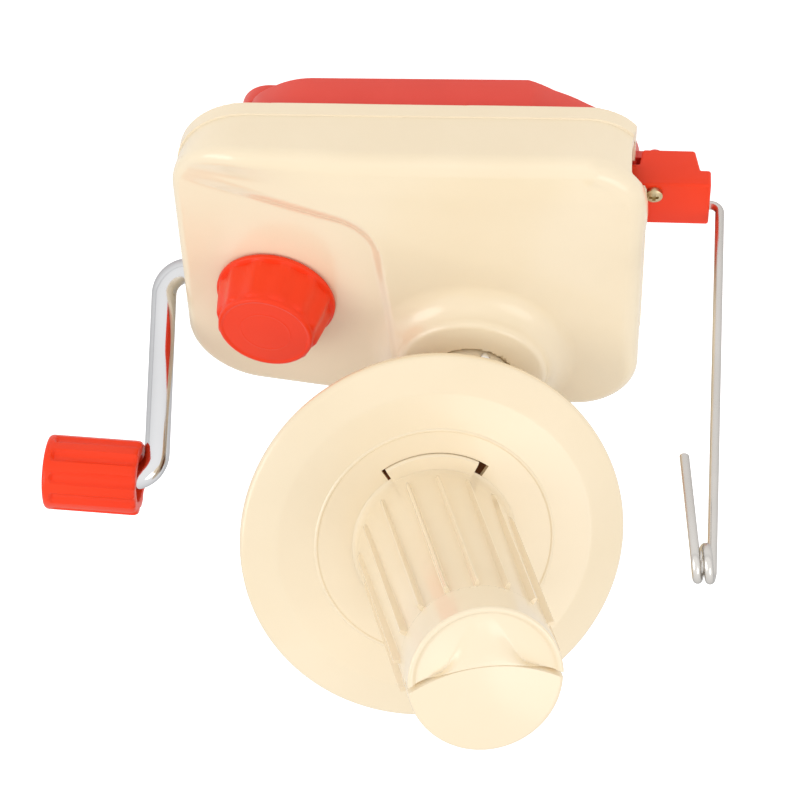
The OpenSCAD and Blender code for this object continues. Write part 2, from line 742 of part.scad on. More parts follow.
module main_bush() {
    color(white_nylon) translate([main_x, main_y, 0]) difference() {
        union() {
            translate([0, 0, web_z - 1]) cylinder(h = web_top - web_z + 1, r = bush_r);
            translate([0, 0, web_top]) cylinder(h = bush_flange, r = bush_r + 2);
        }
        cylinder(h = 60, r = sleeve_r + run_gap);
    }
}

module thrust_washer() {
    color(steel) translate([main_x, main_y, washer_z]) ring(bush_r + 1.6, sleeve_r + run_gap, washer_t);
}

module centre_post() {
    color(steel) translate([main_x, main_y, 1.5]) cylinder(h = sun_z + sun_h - 1.5, r = post_r);
}

module sun_gear() {
    color(white_nylon) translate([main_x, main_y, sun_z]) difference() {
        union() {
            rotate(spool_azimuth + 180) linear_extrude(sun_h, scale = bevel_scale)
                gear_outline(sun_teeth, bevel_module, backlash);
            translate([0, 0, -2.2]) cylinder(h = 2.3, r = 5);
        }
        translate([0, 0, -3]) cylinder(h = sun_h + 4, r = post_r);
    }
}

module head_sleeve() {
    color(steel) translate([main_x, main_y, pinion_z - 2]) ring(sleeve_r, post_r + run_gap, hub_z + 10 - pinion_z);
}

module head_pinion() {
    color(white_nylon) translate([main_x, main_y, pinion_z]) difference() {
        rotate(cluster_phase() + 180 + 180 / head_teeth)
            linear_extrude(gear_face + 0.4) gear_outline(head_teeth, gear_module, backlash);
        translate([0, 0, -1]) cylinder(h = gear_face + 3, r = sleeve_r);
    }
}

module spinner_head() {
    color(cream) difference() {
        union() {
            translate([main_x, main_y, hub_z]) cylinder(h = hub_h, r = hub_r);
            in_spool_frame() translate([0, 0, arm_top - arm_t]) {
                linear_extrude(arm_t) {
                    circle(11);
                    translate([0, -arm_w / 2]) square([-arm_top * tan(spool_tilt) - 5, arm_w]);
                }
                translate([0, 0, -4.5]) cylinder(h = 6, r = 8);
            }
        }
        translate([main_x, main_y, hub_z - 1]) cylinder(h = 9.4, r = sleeve_r);
        translate([main_x, main_y, hub_z]) cylinder(h = hub_h + 8, r = post_r + free_gap);
        in_spool_frame() translate([0, 0, axle_low]) cylinder(h = 30, r = axle_r);
        rotate_set_screw() cylinder(h = 20, r = thread_r);
    }
}

// Puts its children on the set screw's axis, pointing out of the hub over the neck, where a driver reaches it
module rotate_set_screw() {
    translate([main_x, main_y, hub_z + 6.9]) rotate([0, 90, spool_azimuth])
        translate([0, 0, sleeve_r]) children();
}

module head_set_screw() {
    color(steel) rotate_set_screw() cylinder(h = hub_r - sleeve_r, r = thread_r);
}

module spool_axle() {
    color(steel) in_spool_frame() translate([0, 0, axle_low]) cylinder(h = cap_z - 1 - axle_low, r = axle_r);
}

module axle_clip() {
    color(steel) in_spool_frame() translate([0, 0, web_high + face_gap]) ring(5.4, axle_r, clip_t);
}

module spool_gear() {
    root = cone_far * sin(spool_cone) - 1.15 * bevel_module;
    color(white_nylon) in_spool_frame() difference() {
        union() {
            translate([0, 0, spool_gear_low]) rotate(180 / spool_teeth)
                linear_extrude(spool_gear_h, scale = bevel_scale) gear_outline(spool_teeth, bevel_module, backlash);
            translate([0, 0, spool_gear_low]) cylinder(h = under_z - spool_gear_low, r = drum_r);
        }
        translate([0, 0, spool_gear_low + 2.4]) ring(drum_r - 2, 6, 40);
        translate([0, 0, spool_gear_low - 1]) cylinder(h = 40, r = axle_r + run_gap);
        for (a = [0 : 120 : 240]) rotate(a + 30) translate([disc_screw_r, 0, spool_gear_low - 1])
            cylinder(h = 40, r = thread_r);
    }
    color(white_nylon) in_spool_frame() for (a = [0 : 120 : 240]) rotate(a + 30)
        translate([disc_screw_r, 0, spool_gear_low + 2]) ring(3, thread_r, under_z - spool_gear_low - 2);
}

module disc_screws() {
    color(steel) in_spool_frame() for (a = [0 : 120 : 240]) rotate(a + 30)
        translate([disc_screw_r, 0, spool_gear_low]) mirror([0, 0, 1]) pan_screw(2.4, 1.2, flat_z + 3 - spool_gear_low);
}

module window_cut(arc) {
    for (turn = [0, 180]) rotate(turn) sector(window_in, window_out, arc[0], arc[1]);
}

module spool_disc() {
    color(cream) in_spool_frame() difference() {
        union() {
            rotate_extrude($fn = 128) polygon([[0, under_z], [disc_flat_r - 1, under_z],
                [disc_r - 1.5, rim_z - disc_t + 0.4], [disc_r - 1.5, rim_z - 2.6], [disc_r - 0.4, rim_z - 2.6],
                [disc_r, rim_z - 2], [disc_r, rim_z - 0.5], [disc_r - 0.6, rim_z], [disc_flat_r, flat_z], [0, flat_z]]);
            // Fine raised circle round the tube's seat
            translate([0, 0, flat_z - 0.1]) ring(disc_r * 0.62, disc_r * 0.62 - 0.7, 0.45);
            // Screw posts inside the tube
            for (a = [0 : 120 : 240]) rotate(a + 30) translate([disc_screw_r, 0, flat_z - 0.1])
                cylinder(h = 4.1, r = 3);
        }
        translate([0, 0, under_z - 1]) cylinder(h = 10, r = 6);
        translate([0, 0, under_z - 1]) linear_extrude(6) window_cut(window_arc);
        for (a = [0 : 120 : 240]) rotate(a + 30) translate([disc_screw_r, 0, under_z - 1])
            cylinder(h = 5.2 + disc_t, r = thread_r);
    }
}

module spool_tube() {
    tube_h = cap_z - tube_z;
    rib_h = tube_h - plinth_h - 6;
    rib_foot_r = tube_foot_r + rib_low;
    lean = atan((rib_foot_r - tube_top_r - rib_high) / rib_h);
    color(cream) in_spool_frame() difference() {
        union() {
            translate([0, 0, tube_z]) cylinder(h = tube_h, r1 = tube_foot_r, r2 = tube_top_r);
            translate([0, 0, tube_z]) cylinder(h = plinth_h, r = tube_foot_r + 1);
            translate([0, 0, cap_z - 6]) cylinder(h = 6, r = tube_top_r + 0.6);
            // Lengthwise ribs, pointed at the foot
            for (i = [0 : rib_count - 1]) rotate((i + 0.5) * 360 / rib_count)
                translate([rib_foot_r, 0, tube_z + plinth_h]) rotate([0, -lean, 0])
                    linear_extrude(rib_h) polygon([[-3.3, -1], [-1.4, -1], [0, -0.4], [0, 0.4], [-1.4, 1], [-3.3, 1]]);
            // Tabs that pass through the disc's windows and hook under it
            for (turn = [0, 180]) rotate(turn + tab_arc[0]) rotate_extrude(angle = tab_arc[1] - tab_arc[0])
                polygon([[window_in + 0.35, under_z - 2], [window_out + 2, under_z - 2],
                    [window_out + 2, under_z - face_gap], [window_out - 0.35, under_z - face_gap],
                    [window_out - 0.35, tube_z + 0.4], [window_in + 0.35, tube_z + 0.4]]);
        }
        difference() {
            translate([0, 0, tube_z - 0.01]) cylinder(h = tube_h + 0.02, r1 = tube_foot_r - tube_wall,
                r2 = tube_top_r - tube_wall);
            translate([0, 0, web_low]) cylinder(h = web_high - web_low, r = tube_foot_r);
        }
        translate([0, 0, web_low - 1]) cylinder(h = 10, r = axle_r + run_gap);
    }
}

module spool_cap() {
    color(cream) in_spool_frame() difference() {
        union() {
            translate([0, 0, cap_z]) cylinder(h = cap_rise - cap_z - 1.2, r = cap_r);
            // Rounded rim that stands round the sunk half
            translate([0, 0, cap_z]) ring(cap_r, cap_r - 1.6, cap_rise - cap_z);
            // Shallow dome of the other half
            intersection() {
                translate([0, 0, cap_rise + 1.4 - 60]) sphere(60, $fn = 128);
                rotate(slit_turn) translate([-cap_r, -cap_r, cap_z]) cube([cap_r, 2 * cap_r, 12]);
                translate([0, 0, cap_z]) cylinder(h = 12, r = cap_r);
            }
            translate([0, 0, cap_z - 2.4]) cylinder(h = 2.5, r = tube_top_r - tube_wall - 0.15);
        }
        translate([0, 0, cap_z - 3]) cylinder(h = 5, r = tube_top_r - tube_wall - 2);
        // Slit that holds the yarn's end, wider at its two mouths
        translate([0, 0, cap_rise - 4.5]) rotate(slit_turn) linear_extrude(10) polygon([[-0.4, 0], [-1.1, cap_r + 1],
            [1.3, cap_r + 1], [0.4, 0], [1.1, -cap_r - 1], [-1.3, -cap_r - 1]]);
    }
}

module clamp_knob() {
    low_r = knob_r - 1;
    top_r = knob_face_r + 0.6;
    top_z = knob_h - 1.2;
    flange_h = 1.6;
    groove_r = 5;
    flare = atan((low_r - top_r) / (top_z - flange_h));
    color(red) in_clamp_frame() translate([0, 0, knob_seat]) difference() {
        union() {
            cylinder(h = flange_h, r = knob_r);
            difference() {
                translate([0, 0, flange_h - 0.1]) cylinder(h = top_z - flange_h + 0.1, r1 = low_r, r2 = top_r);
                // Broad shallow flutes along the slope
                for (i = [0 : knob_flutes - 1]) rotate(i * 360 / knob_flutes)
                    translate([low_r - flute_depth + groove_r / cos(flare), 0, flange_h]) rotate([0, -flare, 0])
                        translate([0, 0, -6]) cylinder(h = knob_h + 8, r = groove_r);
            }
            cylinder(h = knob_h, r = knob_face_r - 0.2);
        }
        // Sunk face inside the raised edge
        translate([0, 0, knob_h - 0.6]) cylinder(h = 2, r = knob_face_r - 2.2);
        // Hollow underside round the screw's boss
        translate([0, 0, -1]) ring(knob_r - 5.5, 7.5, knob_h - 3.5);
        translate([0, 0, -1]) cylinder(h = knob_h - 3, r = screw_r);
    }
}

module clamp_screw() {
    color(steel) in_clamp_frame() translate([0, 0, screw_low]) cylinder(h = knob_seat + knob_h - 4 - screw_low, r = screw_r);
}

module screw_stop_ring() {
    color(steel) in_clamp_frame() translate([0, 0, screw_low + 0.8]) ring(5, screw_r, 1.2);
}

module clamp_guide_pins() {
    low = screw_low + 2;
    color(steel) in_clamp_frame() for (side = [-1, 1]) translate([pin_offset, side * pin_pitch, low])
        cylinder(h = guide_sleeve_h - low, r = pin_r);
}

module clamp_jaw() {
    color(red) difference() {
        union() {
            translate([0, 0, jaw_top - jaw_t]) linear_extrude(jaw_t)
                end_rounded_plan(jaw_x0, jaw_x0 + jaw_l, jaw_w, jaw_corner, jaw_corner + 4);
            // Stiffening ribs and the nut's boss
            for (y = [-1, 1]) translate([jaw_x0 + 4, y * jaw_w / 3.4 - 1.2, jaw_top - jaw_t - 3])
                cube([jaw_l - 9, 2.4, 4]);
            in_clamp_frame() translate([0, 0, nut_low]) cylinder(h = jaw_top - jaw_t - nut_low + 2.5, r = nut_boss_r);
        }
        in_clamp_frame() {
            translate([0, 0, nut_low - 1]) cylinder(h = 30, r = screw_r + free_gap);
            translate([0, 0, nut_low - 1]) cylinder(h = nut_h + 1, r = nut_r, $fn = 6);
            for (side = [-1, 1]) translate([pin_offset, side * pin_pitch, nut_low - 4])
                cylinder(h = 30, r = pin_r + run_gap);
        }
    }
}

module jaw_nut() {
    color(steel) in_clamp_frame() translate([0, 0, nut_low]) difference() {
        cylinder(h = nut_h, r = nut_r, $fn = 6);
        translate([0, 0, -1]) cylinder(h = nut_h + 2, r = screw_r + run_gap);
    }
}

module jaw_pad() {
    color(black_rubber) difference() {
        translate([0, 0, jaw_top]) linear_extrude(pad_t)
            end_rounded_plan(jaw_x0 + 3, jaw_x0 + jaw_l - 3, jaw_w - 6, jaw_corner - 1, jaw_corner + 3);
        in_clamp_frame() {
            translate([0, 0, jaw_top - 3]) cylinder(h = 10, r = screw_r + free_gap);
            for (side = [-1, 1]) translate([pin_offset, side * pin_pitch, jaw_top - 4]) cylinder(h = 12, r = pin_r + free_gap);
        }
    }
}

upper_casing();
base_shell();
casing_screws();
guide_bracket();
bracket_screw();
guide_wire();
crank_rod();
crank_bush_outer();
crank_bush_inner();
crank_clip();
crown_gear();
crank_grip();
grip_push_nut();
grip_cap();
cluster_gear();
cluster_shaft();
cluster_clip();
main_bush();
thrust_washer();
centre_post();
sun_gear();
head_sleeve();
head_pinion();
spinner_head();
head_set_screw();
spool_axle();
axle_clip();
spool_gear();
spool_disc();
disc_screws();
spool_tube();
spool_cap();
clamp_knob();
clamp_screw();
screw_stop_ring();
clamp_guide_pins();
clamp_jaw();
jaw_nut();
jaw_pad();
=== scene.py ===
"""Yarn ball winder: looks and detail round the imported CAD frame. New pieces are drawn in millimetres in the CAD's
frame, and come to metres as they are finished."""
import json
import math

import bmesh
import bpy
import numpy as np
from mathutils import Matrix, Vector


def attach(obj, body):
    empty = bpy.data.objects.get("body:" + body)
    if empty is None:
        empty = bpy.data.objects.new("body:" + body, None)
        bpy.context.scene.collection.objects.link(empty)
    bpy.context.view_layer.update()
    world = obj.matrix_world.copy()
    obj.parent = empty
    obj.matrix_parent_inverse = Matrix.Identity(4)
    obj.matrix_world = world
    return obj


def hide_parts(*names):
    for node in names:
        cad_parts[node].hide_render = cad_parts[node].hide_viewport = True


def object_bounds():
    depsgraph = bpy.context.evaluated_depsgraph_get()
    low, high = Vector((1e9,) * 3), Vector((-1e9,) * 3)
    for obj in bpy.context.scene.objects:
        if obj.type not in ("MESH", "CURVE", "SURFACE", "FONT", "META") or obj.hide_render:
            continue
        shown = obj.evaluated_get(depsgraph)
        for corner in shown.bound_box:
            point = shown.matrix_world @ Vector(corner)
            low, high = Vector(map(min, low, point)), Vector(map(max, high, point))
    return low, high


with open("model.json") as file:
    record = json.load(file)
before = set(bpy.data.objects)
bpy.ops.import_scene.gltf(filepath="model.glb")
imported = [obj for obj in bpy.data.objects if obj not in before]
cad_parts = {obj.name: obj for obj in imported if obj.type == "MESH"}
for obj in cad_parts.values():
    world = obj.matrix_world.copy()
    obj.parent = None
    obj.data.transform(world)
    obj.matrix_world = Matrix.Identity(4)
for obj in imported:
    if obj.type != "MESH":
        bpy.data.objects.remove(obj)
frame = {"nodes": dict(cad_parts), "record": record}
nodes = frame["nodes"]
cad_low, cad_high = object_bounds()


# Camera: it looks down on the crown of the spool, with the base at the top of the picture. Its lens and its distance
# were solved from the outlines of the casing, the disc and the cap.
tilt, yaw, roll = (math.radians(a) for a in (50.6, 3.3, 1.7))
level = Vector((1, 0, 0))
raised = Vector((0, math.cos(tilt), -math.sin(tilt)))
towards = Vector((0, math.sin(tilt), math.cos(tilt)))
back = math.cos(yaw) * towards + math.sin(yaw) * level
across = math.cos(yaw) * level - math.sin(yaw) * towards
right = math.cos(roll) * across + math.sin(roll) * raised
up = math.cos(roll) * raised - math.sin(roll) * across
aim = Vector((-0.006, -0.075, 0.011))
lens = bpy.data.cameras.new("camera")
lens.sensor_width = 36
lens.lens = 2900 * 36 / 800
lens.clip_start = 0.05
camera = bpy.data.objects.new("camera", lens)
bpy.context.scene.collection.objects.link(camera)
place = Matrix((right, up, back)).transposed().to_4x4()
place.translation = aim + 0.86567 * back
camera.matrix_world = place
bpy.context.scene.camera = camera


# Studio: white paper under the clamp, an even white room, and four soft lamps, of which only the two that shine on the
# neck show as highlights. Only what the lens sees of the paper is lifted to white.
def add_softbox(name, direction, size, power, mirrored):
    data = bpy.data.lights.new(name, "AREA")
    data.shape = "DISK"
    data.size = size
    data.energy = power
    lamp = bpy.data.objects.new(name, data)
    bpy.context.scene.collection.objects.link(lamp)
    lamp.location = aim + direction
    lamp.rotation_euler = direction.to_track_quat("Z", "Y").to_euler()
    lamp.visible_glossy = mirrored


add_softbox("key", Vector((-0.691, 0.361, 0.627)), 0.62, 2.15, True)
add_softbox("fill", Vector((0.523, 0.187, 0.832)), 0.5, 0.9, True)
add_softbox("front", Vector((0.058, 0.771, 0.634)), 0.5, 0.95, False)
add_softbox("side", Vector((0.855, 0.252, 0.453)), 0.4, 0.9, False)
bpy.context.scene.view_settings.view_transform = "Standard"

room = bpy.data.worlds.new("studio")
room.use_nodes = True
air = room.node_tree.nodes["Background"]
air.inputs["Color"].default_value = (1, 1, 1, 1)
rays = room.node_tree.nodes.new("ShaderNodeLightPath")
either = room.node_tree.nodes.new("ShaderNodeMath")
either.operation = "MAXIMUM"
seen = room.node_tree.nodes.new("ShaderNodeMath")
seen.operation = "MAXIMUM"
strength = room.node_tree.nodes.new("ShaderNodeMath")
strength.operation = "MULTIPLY_ADD"
strength.inputs[1].default_value = 0.27
strength.inputs[2].default_value = 0.73
room.node_tree.links.new(rays.outputs["Is Camera Ray"], either.inputs[0])
room.node_tree.links.new(rays.outputs["Is Glossy Ray"], either.inputs[1])
room.node_tree.links.new(either.outputs[0], seen.inputs[0])
room.node_tree.links.new(rays.outputs["Is Transmission Ray"], seen.inputs[1])
room.node_tree.links.new(seen.outputs[0], strength.inputs[0])
room.node_tree.links.new(strength.outputs[0], air.inputs["Strength"])
bpy.context.scene.world = room

sheet = bmesh.new()
bmesh.ops.create_grid(sheet, x_segments=8, y_segments=8, size=4)
floor_mesh = bpy.data.meshes.new("floor")
sheet.to_mesh(floor_mesh)
sheet.free()
floor = bpy.data.objects.new("floor", floor_mesh)
bpy.context.scene.collection.objects.link(floor)
floor.location.z = cad_low[2] - 0.03
paper = bpy.data.materials.new("white_paper")
paper.use_nodes = True
tree = paper.node_tree
matt = tree.nodes["Principled BSDF"]
matt.inputs["Base Color"].default_value = (0.9, 0.9, 0.9, 1)
matt.inputs["Roughness"].default_value = 0.9
lift = tree.nodes.new("ShaderNodeEmission")
rays = tree.nodes.new("ShaderNodeLightPath")
seen = tree.nodes.new("ShaderNodeMath")
seen.operation = "MULTIPLY"
seen.inputs[1].default_value = 0.55
both = tree.nodes.new("ShaderNodeAddShader")
tree.links.new(rays.outputs["Is Camera Ray"], seen.inputs[0])
tree.links.new(seen.outputs[0], lift.inputs["Strength"])
tree.links.new(matt.outputs[0], both.inputs[0])
tree.links.new(lift.outputs[0], both.inputs[1])
tree.links.new(both.outputs[0], tree.nodes["Material Output"].inputs["Surface"])
floor_mesh.materials.append(paper)


# Upper casing: one cream injection moulding, satin, drafted so that it leaves its tool, with a sunk slope at the
# crank's end, a flared neck round the main shaft and a soft lobe at the guide's corner. It is hollow, has bosses for
# its screws and closes on the base with a thin lip. Its forms run into each other, so a distance field draws its skin.
surface = bpy.data.node_groups.new("moulded_surface", "ShaderNodeTree")
for socket, kind, value in (
        ("Tone", "NodeSocketColor", (0.8, 0.8, 0.8, 1)), ("Other Tone", "NodeSocketColor", (0.7, 0.7, 0.7, 1)),
        ("Drift Scale", "NodeSocketFloat", 30.0), ("Grain Scale", "NodeSocketFloat", 900.0),
        ("Bump", "NodeSocketFloat", 0.05), ("Roughness", "NodeSocketFloat", 0.4), ("Spread", "NodeSocketFloat", 0.1)):
    surface.interface.new_socket(socket, in_out="INPUT", socket_type=kind).default_value = value
surface.interface.new_socket("Color", in_out="OUTPUT", socket_type="NodeSocketColor")
surface.interface.new_socket("Roughness", in_out="OUTPUT", socket_type="NodeSocketFloat")
surface.interface.new_socket("Normal", in_out="OUTPUT", socket_type="NodeSocketVector")
inlet, outlet = surface.nodes.new("NodeGroupInput"), surface.nodes.new("NodeGroupOutput")
where = surface.nodes.new("ShaderNodeTexCoord")
drift, slow, fine = (surface.nodes.new("ShaderNodeTexNoise") for _ in range(3))
for noise, detail in ((drift, 5), (slow, 4), (fine, 3)):
    noise.inputs["Detail"].default_value = detail
    surface.links.new(where.outputs["Object"], noise.inputs["Vector"])
slow.inputs["Scale"].default_value = 55
surface.links.new(inlet.outputs["Drift Scale"], drift.inputs["Scale"])
surface.links.new(inlet.outputs["Grain Scale"], fine.inputs["Scale"])
share = surface.nodes.new("ShaderNodeMapRange")
share.inputs["From Min"].default_value = 0.35
share.inputs["From Max"].default_value = 0.65
tones = surface.nodes.new("ShaderNodeMix")
tones.data_type = "RGBA"
surface.links.new(drift.outputs["Fac"], share.inputs["Value"])
surface.links.new(share.outputs["Result"], tones.inputs[0])
surface.links.new(inlet.outputs["Tone"], tones.inputs[6])
surface.links.new(inlet.outputs["Other Tone"], tones.inputs[7])
surface.links.new(tones.outputs[2], outlet.inputs["Color"])
centred = surface.nodes.new("ShaderNodeMath")
centred.operation = "SUBTRACT"
centred.inputs[1].default_value = 0.5
spread = surface.nodes.new("ShaderNodeMath")
spread.operation = "MULTIPLY_ADD"
surface.links.new(slow.outputs["Fac"], centred.inputs[0])
surface.links.new(centred.outputs[0], spread.inputs[0])
surface.links.new(inlet.outputs["Spread"], spread.inputs[1])
surface.links.new(inlet.outputs["Roughness"], spread.inputs[2])
surface.links.new(spread.outputs[0], outlet.inputs["Roughness"])
relief = surface.nodes.new("ShaderNodeBump")
relief.inputs["Distance"].default_value = 0.0002
surface.links.new(fine.outputs["Fac"], relief.inputs["Height"])
surface.links.new(inlet.outputs["Bump"], relief.inputs["Strength"])
surface.links.new(relief.outputs["Normal"], outlet.inputs["Normal"])


def finish(name, tone, other, rough, spread=0.1, bump=0.05, grain=900.0, drift=30.0, metal=0.0, coat=0.0, gloss=0.5,
           grazing_shade=None):
    mat = bpy.data.materials.new(name)
    mat.use_nodes = True
    shader = mat.node_tree.nodes["Principled BSDF"]
    skin = mat.node_tree.nodes.new("ShaderNodeGroup")
    skin.node_tree = surface
    for socket, value in (("Tone", (*tone, 1)), ("Other Tone", (*other, 1)), ("Drift Scale", drift),
                          ("Grain Scale", grain), ("Bump", bump), ("Roughness", rough), ("Spread", spread)):
        skin.inputs[socket].default_value = value
    colour = skin.outputs["Color"]
    # Where a grazing colour is given, the colour darkens as the surface turns away from the lens: painted shade and
    # dark reflection at the outline.
    if grazing_shade:
        turned = mat.node_tree.nodes.new("ShaderNodeLayerWeight")
        turned.inputs["Blend"].default_value = 0.35
        shaded = mat.node_tree.nodes.new("ShaderNodeMix")
        shaded.data_type = "RGBA"
        shaded.inputs[7].default_value = (*grazing_shade, 1)
        mat.node_tree.links.new(turned.outputs["Facing"], shaded.inputs[0])
        mat.node_tree.links.new(colour, shaded.inputs[6])
        colour = shaded.outputs[2]
    mat.node_tree.links.new(colour, shader.inputs["Base Color"])
    mat.node_tree.links.new(skin.outputs["Roughness"], shader.inputs["Roughness"])
    mat.node_tree.links.new(skin.outputs["Normal"], shader.inputs["Normal"])
    shader.inputs["Metallic"].default_value = metal
    shader.inputs["Coat Weight"].default_value = coat
    shader.inputs["Coat Roughness"].default_value = 0.12
    shader.inputs["Specular IOR Level"].default_value = gloss
    return mat


cream = finish("cream_plastic", (0.93, 0.79, 0.57), (0.91, 0.765, 0.54), 0.25, spread=0.04, bump=0.015, coat=0.4, gloss=0.6)


def add_piece(name, mesh, material, slot, body, *replaced):
    mesh.materials.append(material)
    piece = bpy.data.objects.new(name, mesh)
    bpy.context.scene.collection.objects.link(piece)
    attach(piece, body)
    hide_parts(*replaced)
    return piece


def rounded_and(a, b, r):
    return np.minimum(np.maximum(a, b), -r) + np.hypot(np.maximum(a + r, 0), np.maximum(b + r, 0))


def rounded_or(a, b, r):
    return np.maximum(np.minimum(a, b), r) - np.hypot(np.maximum(r - a, 0), np.maximum(r - b, 0))


def ease(t):
    t = np.clip(t, 0, 1)
    return t * t * (3 - 2 * t)


def box_plan(x, y, half_x, half_y, corner):
    qx, qy = np.abs(x) - half_x + corner, np.abs(y) - half_y + corner
    return np.hypot(np.maximum(qx, 0), np.maximum(qy, 0)) + np.minimum(np.maximum(qx, qy), 0) - corner


def field_mesh(name, field, levels):
    """Skin of the field's inside: one vertex in each cell that the skin crosses, then drawn on to it."""
    grid = np.stack(np.meshgrid(*levels, indexing="ij"), -1)
    value = field(grid)
    cells = tuple(n - 1 for n in value.shape)
    total, count, quads = np.zeros(cells + (3,)), np.zeros(cells), []
    for axis in range(3):
        u, v = (axis + 1) % 3, (axis + 2) % 3
        near = [slice(None)] * 3
        far = [slice(None)] * 3
        near[axis], far[axis] = slice(None, -1), slice(1, None)
        a, b = value[tuple(near)], value[tuple(far)]
        spots = np.argwhere((a < 0) != (b < 0))
        va, vb = a[tuple(spots.T)], b[tuple(spots.T)]
        ends = spots.copy()
        ends[:, axis] += 1
        pa, pb = grid[tuple(spots.T)], grid[tuple(ends.T)]
        meets = pa + (pb - pa) * (va / (va - vb))[:, None]
        ring = []
        for du, dv in ((0, 0), (-1, 0), (-1, -1), (0, -1)):
            cell = spots.copy()
            cell[:, u] += du
            cell[:, v] += dv
            np.add.at(total, tuple(cell.T), meets)
            np.add.at(count, tuple(cell.T), 1)
            ring.append(np.ravel_multi_index(tuple(cell.T), cells))
        ring = np.stack(ring, 1)
        ring[va > 0] = ring[va > 0][:, ::-1]
        quads.append(ring)
    used = np.flatnonzero(count.ravel())
    order = np.full(count.size, -1)
    order[used] = np.arange(len(used))
    points = total.reshape(-1, 3)[used] / count.ravel()[used, None]
    reach = 0.4 * min(np.diff(levels[0]).min(), np.diff(levels[1]).min())
    steps = 0.04 * np.eye(3)
    for _ in range(4):
        slope = np.stack([(field(points + s) - field(points - s)) / 0.08 for s in steps], -1)
        size = np.maximum((slope ** 2).sum(-1, keepdims=True), 0.05)
        move = -field(points)[:, None] * slope / size
        points += move * np.minimum(1, reach / np.maximum(np.linalg.norm(move, axis=1, keepdims=True), 1e-9))
    slope = np.stack([field(points + s) - field(points - s) for s in steps], -1)
    normals = slope / np.maximum(np.linalg.norm(slope, axis=1, keepdims=True), 1e-12)
    mesh = bpy.data.meshes.new(name)
    mesh.from_pydata((points / 1000).tolist(), [], order[np.concatenate(quads)].tolist())
    mesh.shade_smooth()
    return mesh, normals


clamp_foot = np.array([-33.6, -9.5, 0])
clamp_axis = np.array([-math.sin(math.radians(8.1)), 0, math.cos(math.radians(8.1))])
casing_screws = ((-36, 38), (-36, -38), (44, 30), (30, -40))


def casing_top(x, y):
    slide = np.logaddexp(0, (-17 - x) / 2.0) * 2.0
    ridge = 34 - 0.15 * slide - 0.0013 * slide ** 2 + (3.9 * ease((-20 - x) / 30) - 1.2) * ease((y - 36) / 12)
    sunk = (28.2 + 0.1409 * (x + 33.6)) / 0.990
    near = 0.2046 * (x + 60.4) + 0.9788 * (y - 32.1)
    beside = x + 8.82 + 0.103 * y - 0.0004 * y * y
    edge = rounded_and(near, beside, 8)
    side = ease((beside - near) / 14 + 0.5)
    rise = np.clip(0.5 * (edge + np.hypot(edge, 0.6)) / (6.2 - 3.2 * side), 0, 1)
    crisp = 1 - (1 - rise) ** 1.9
    lift = crisp + (ease(rise) - crisp) * side
    return sunk + (ridge - sunk) * lift


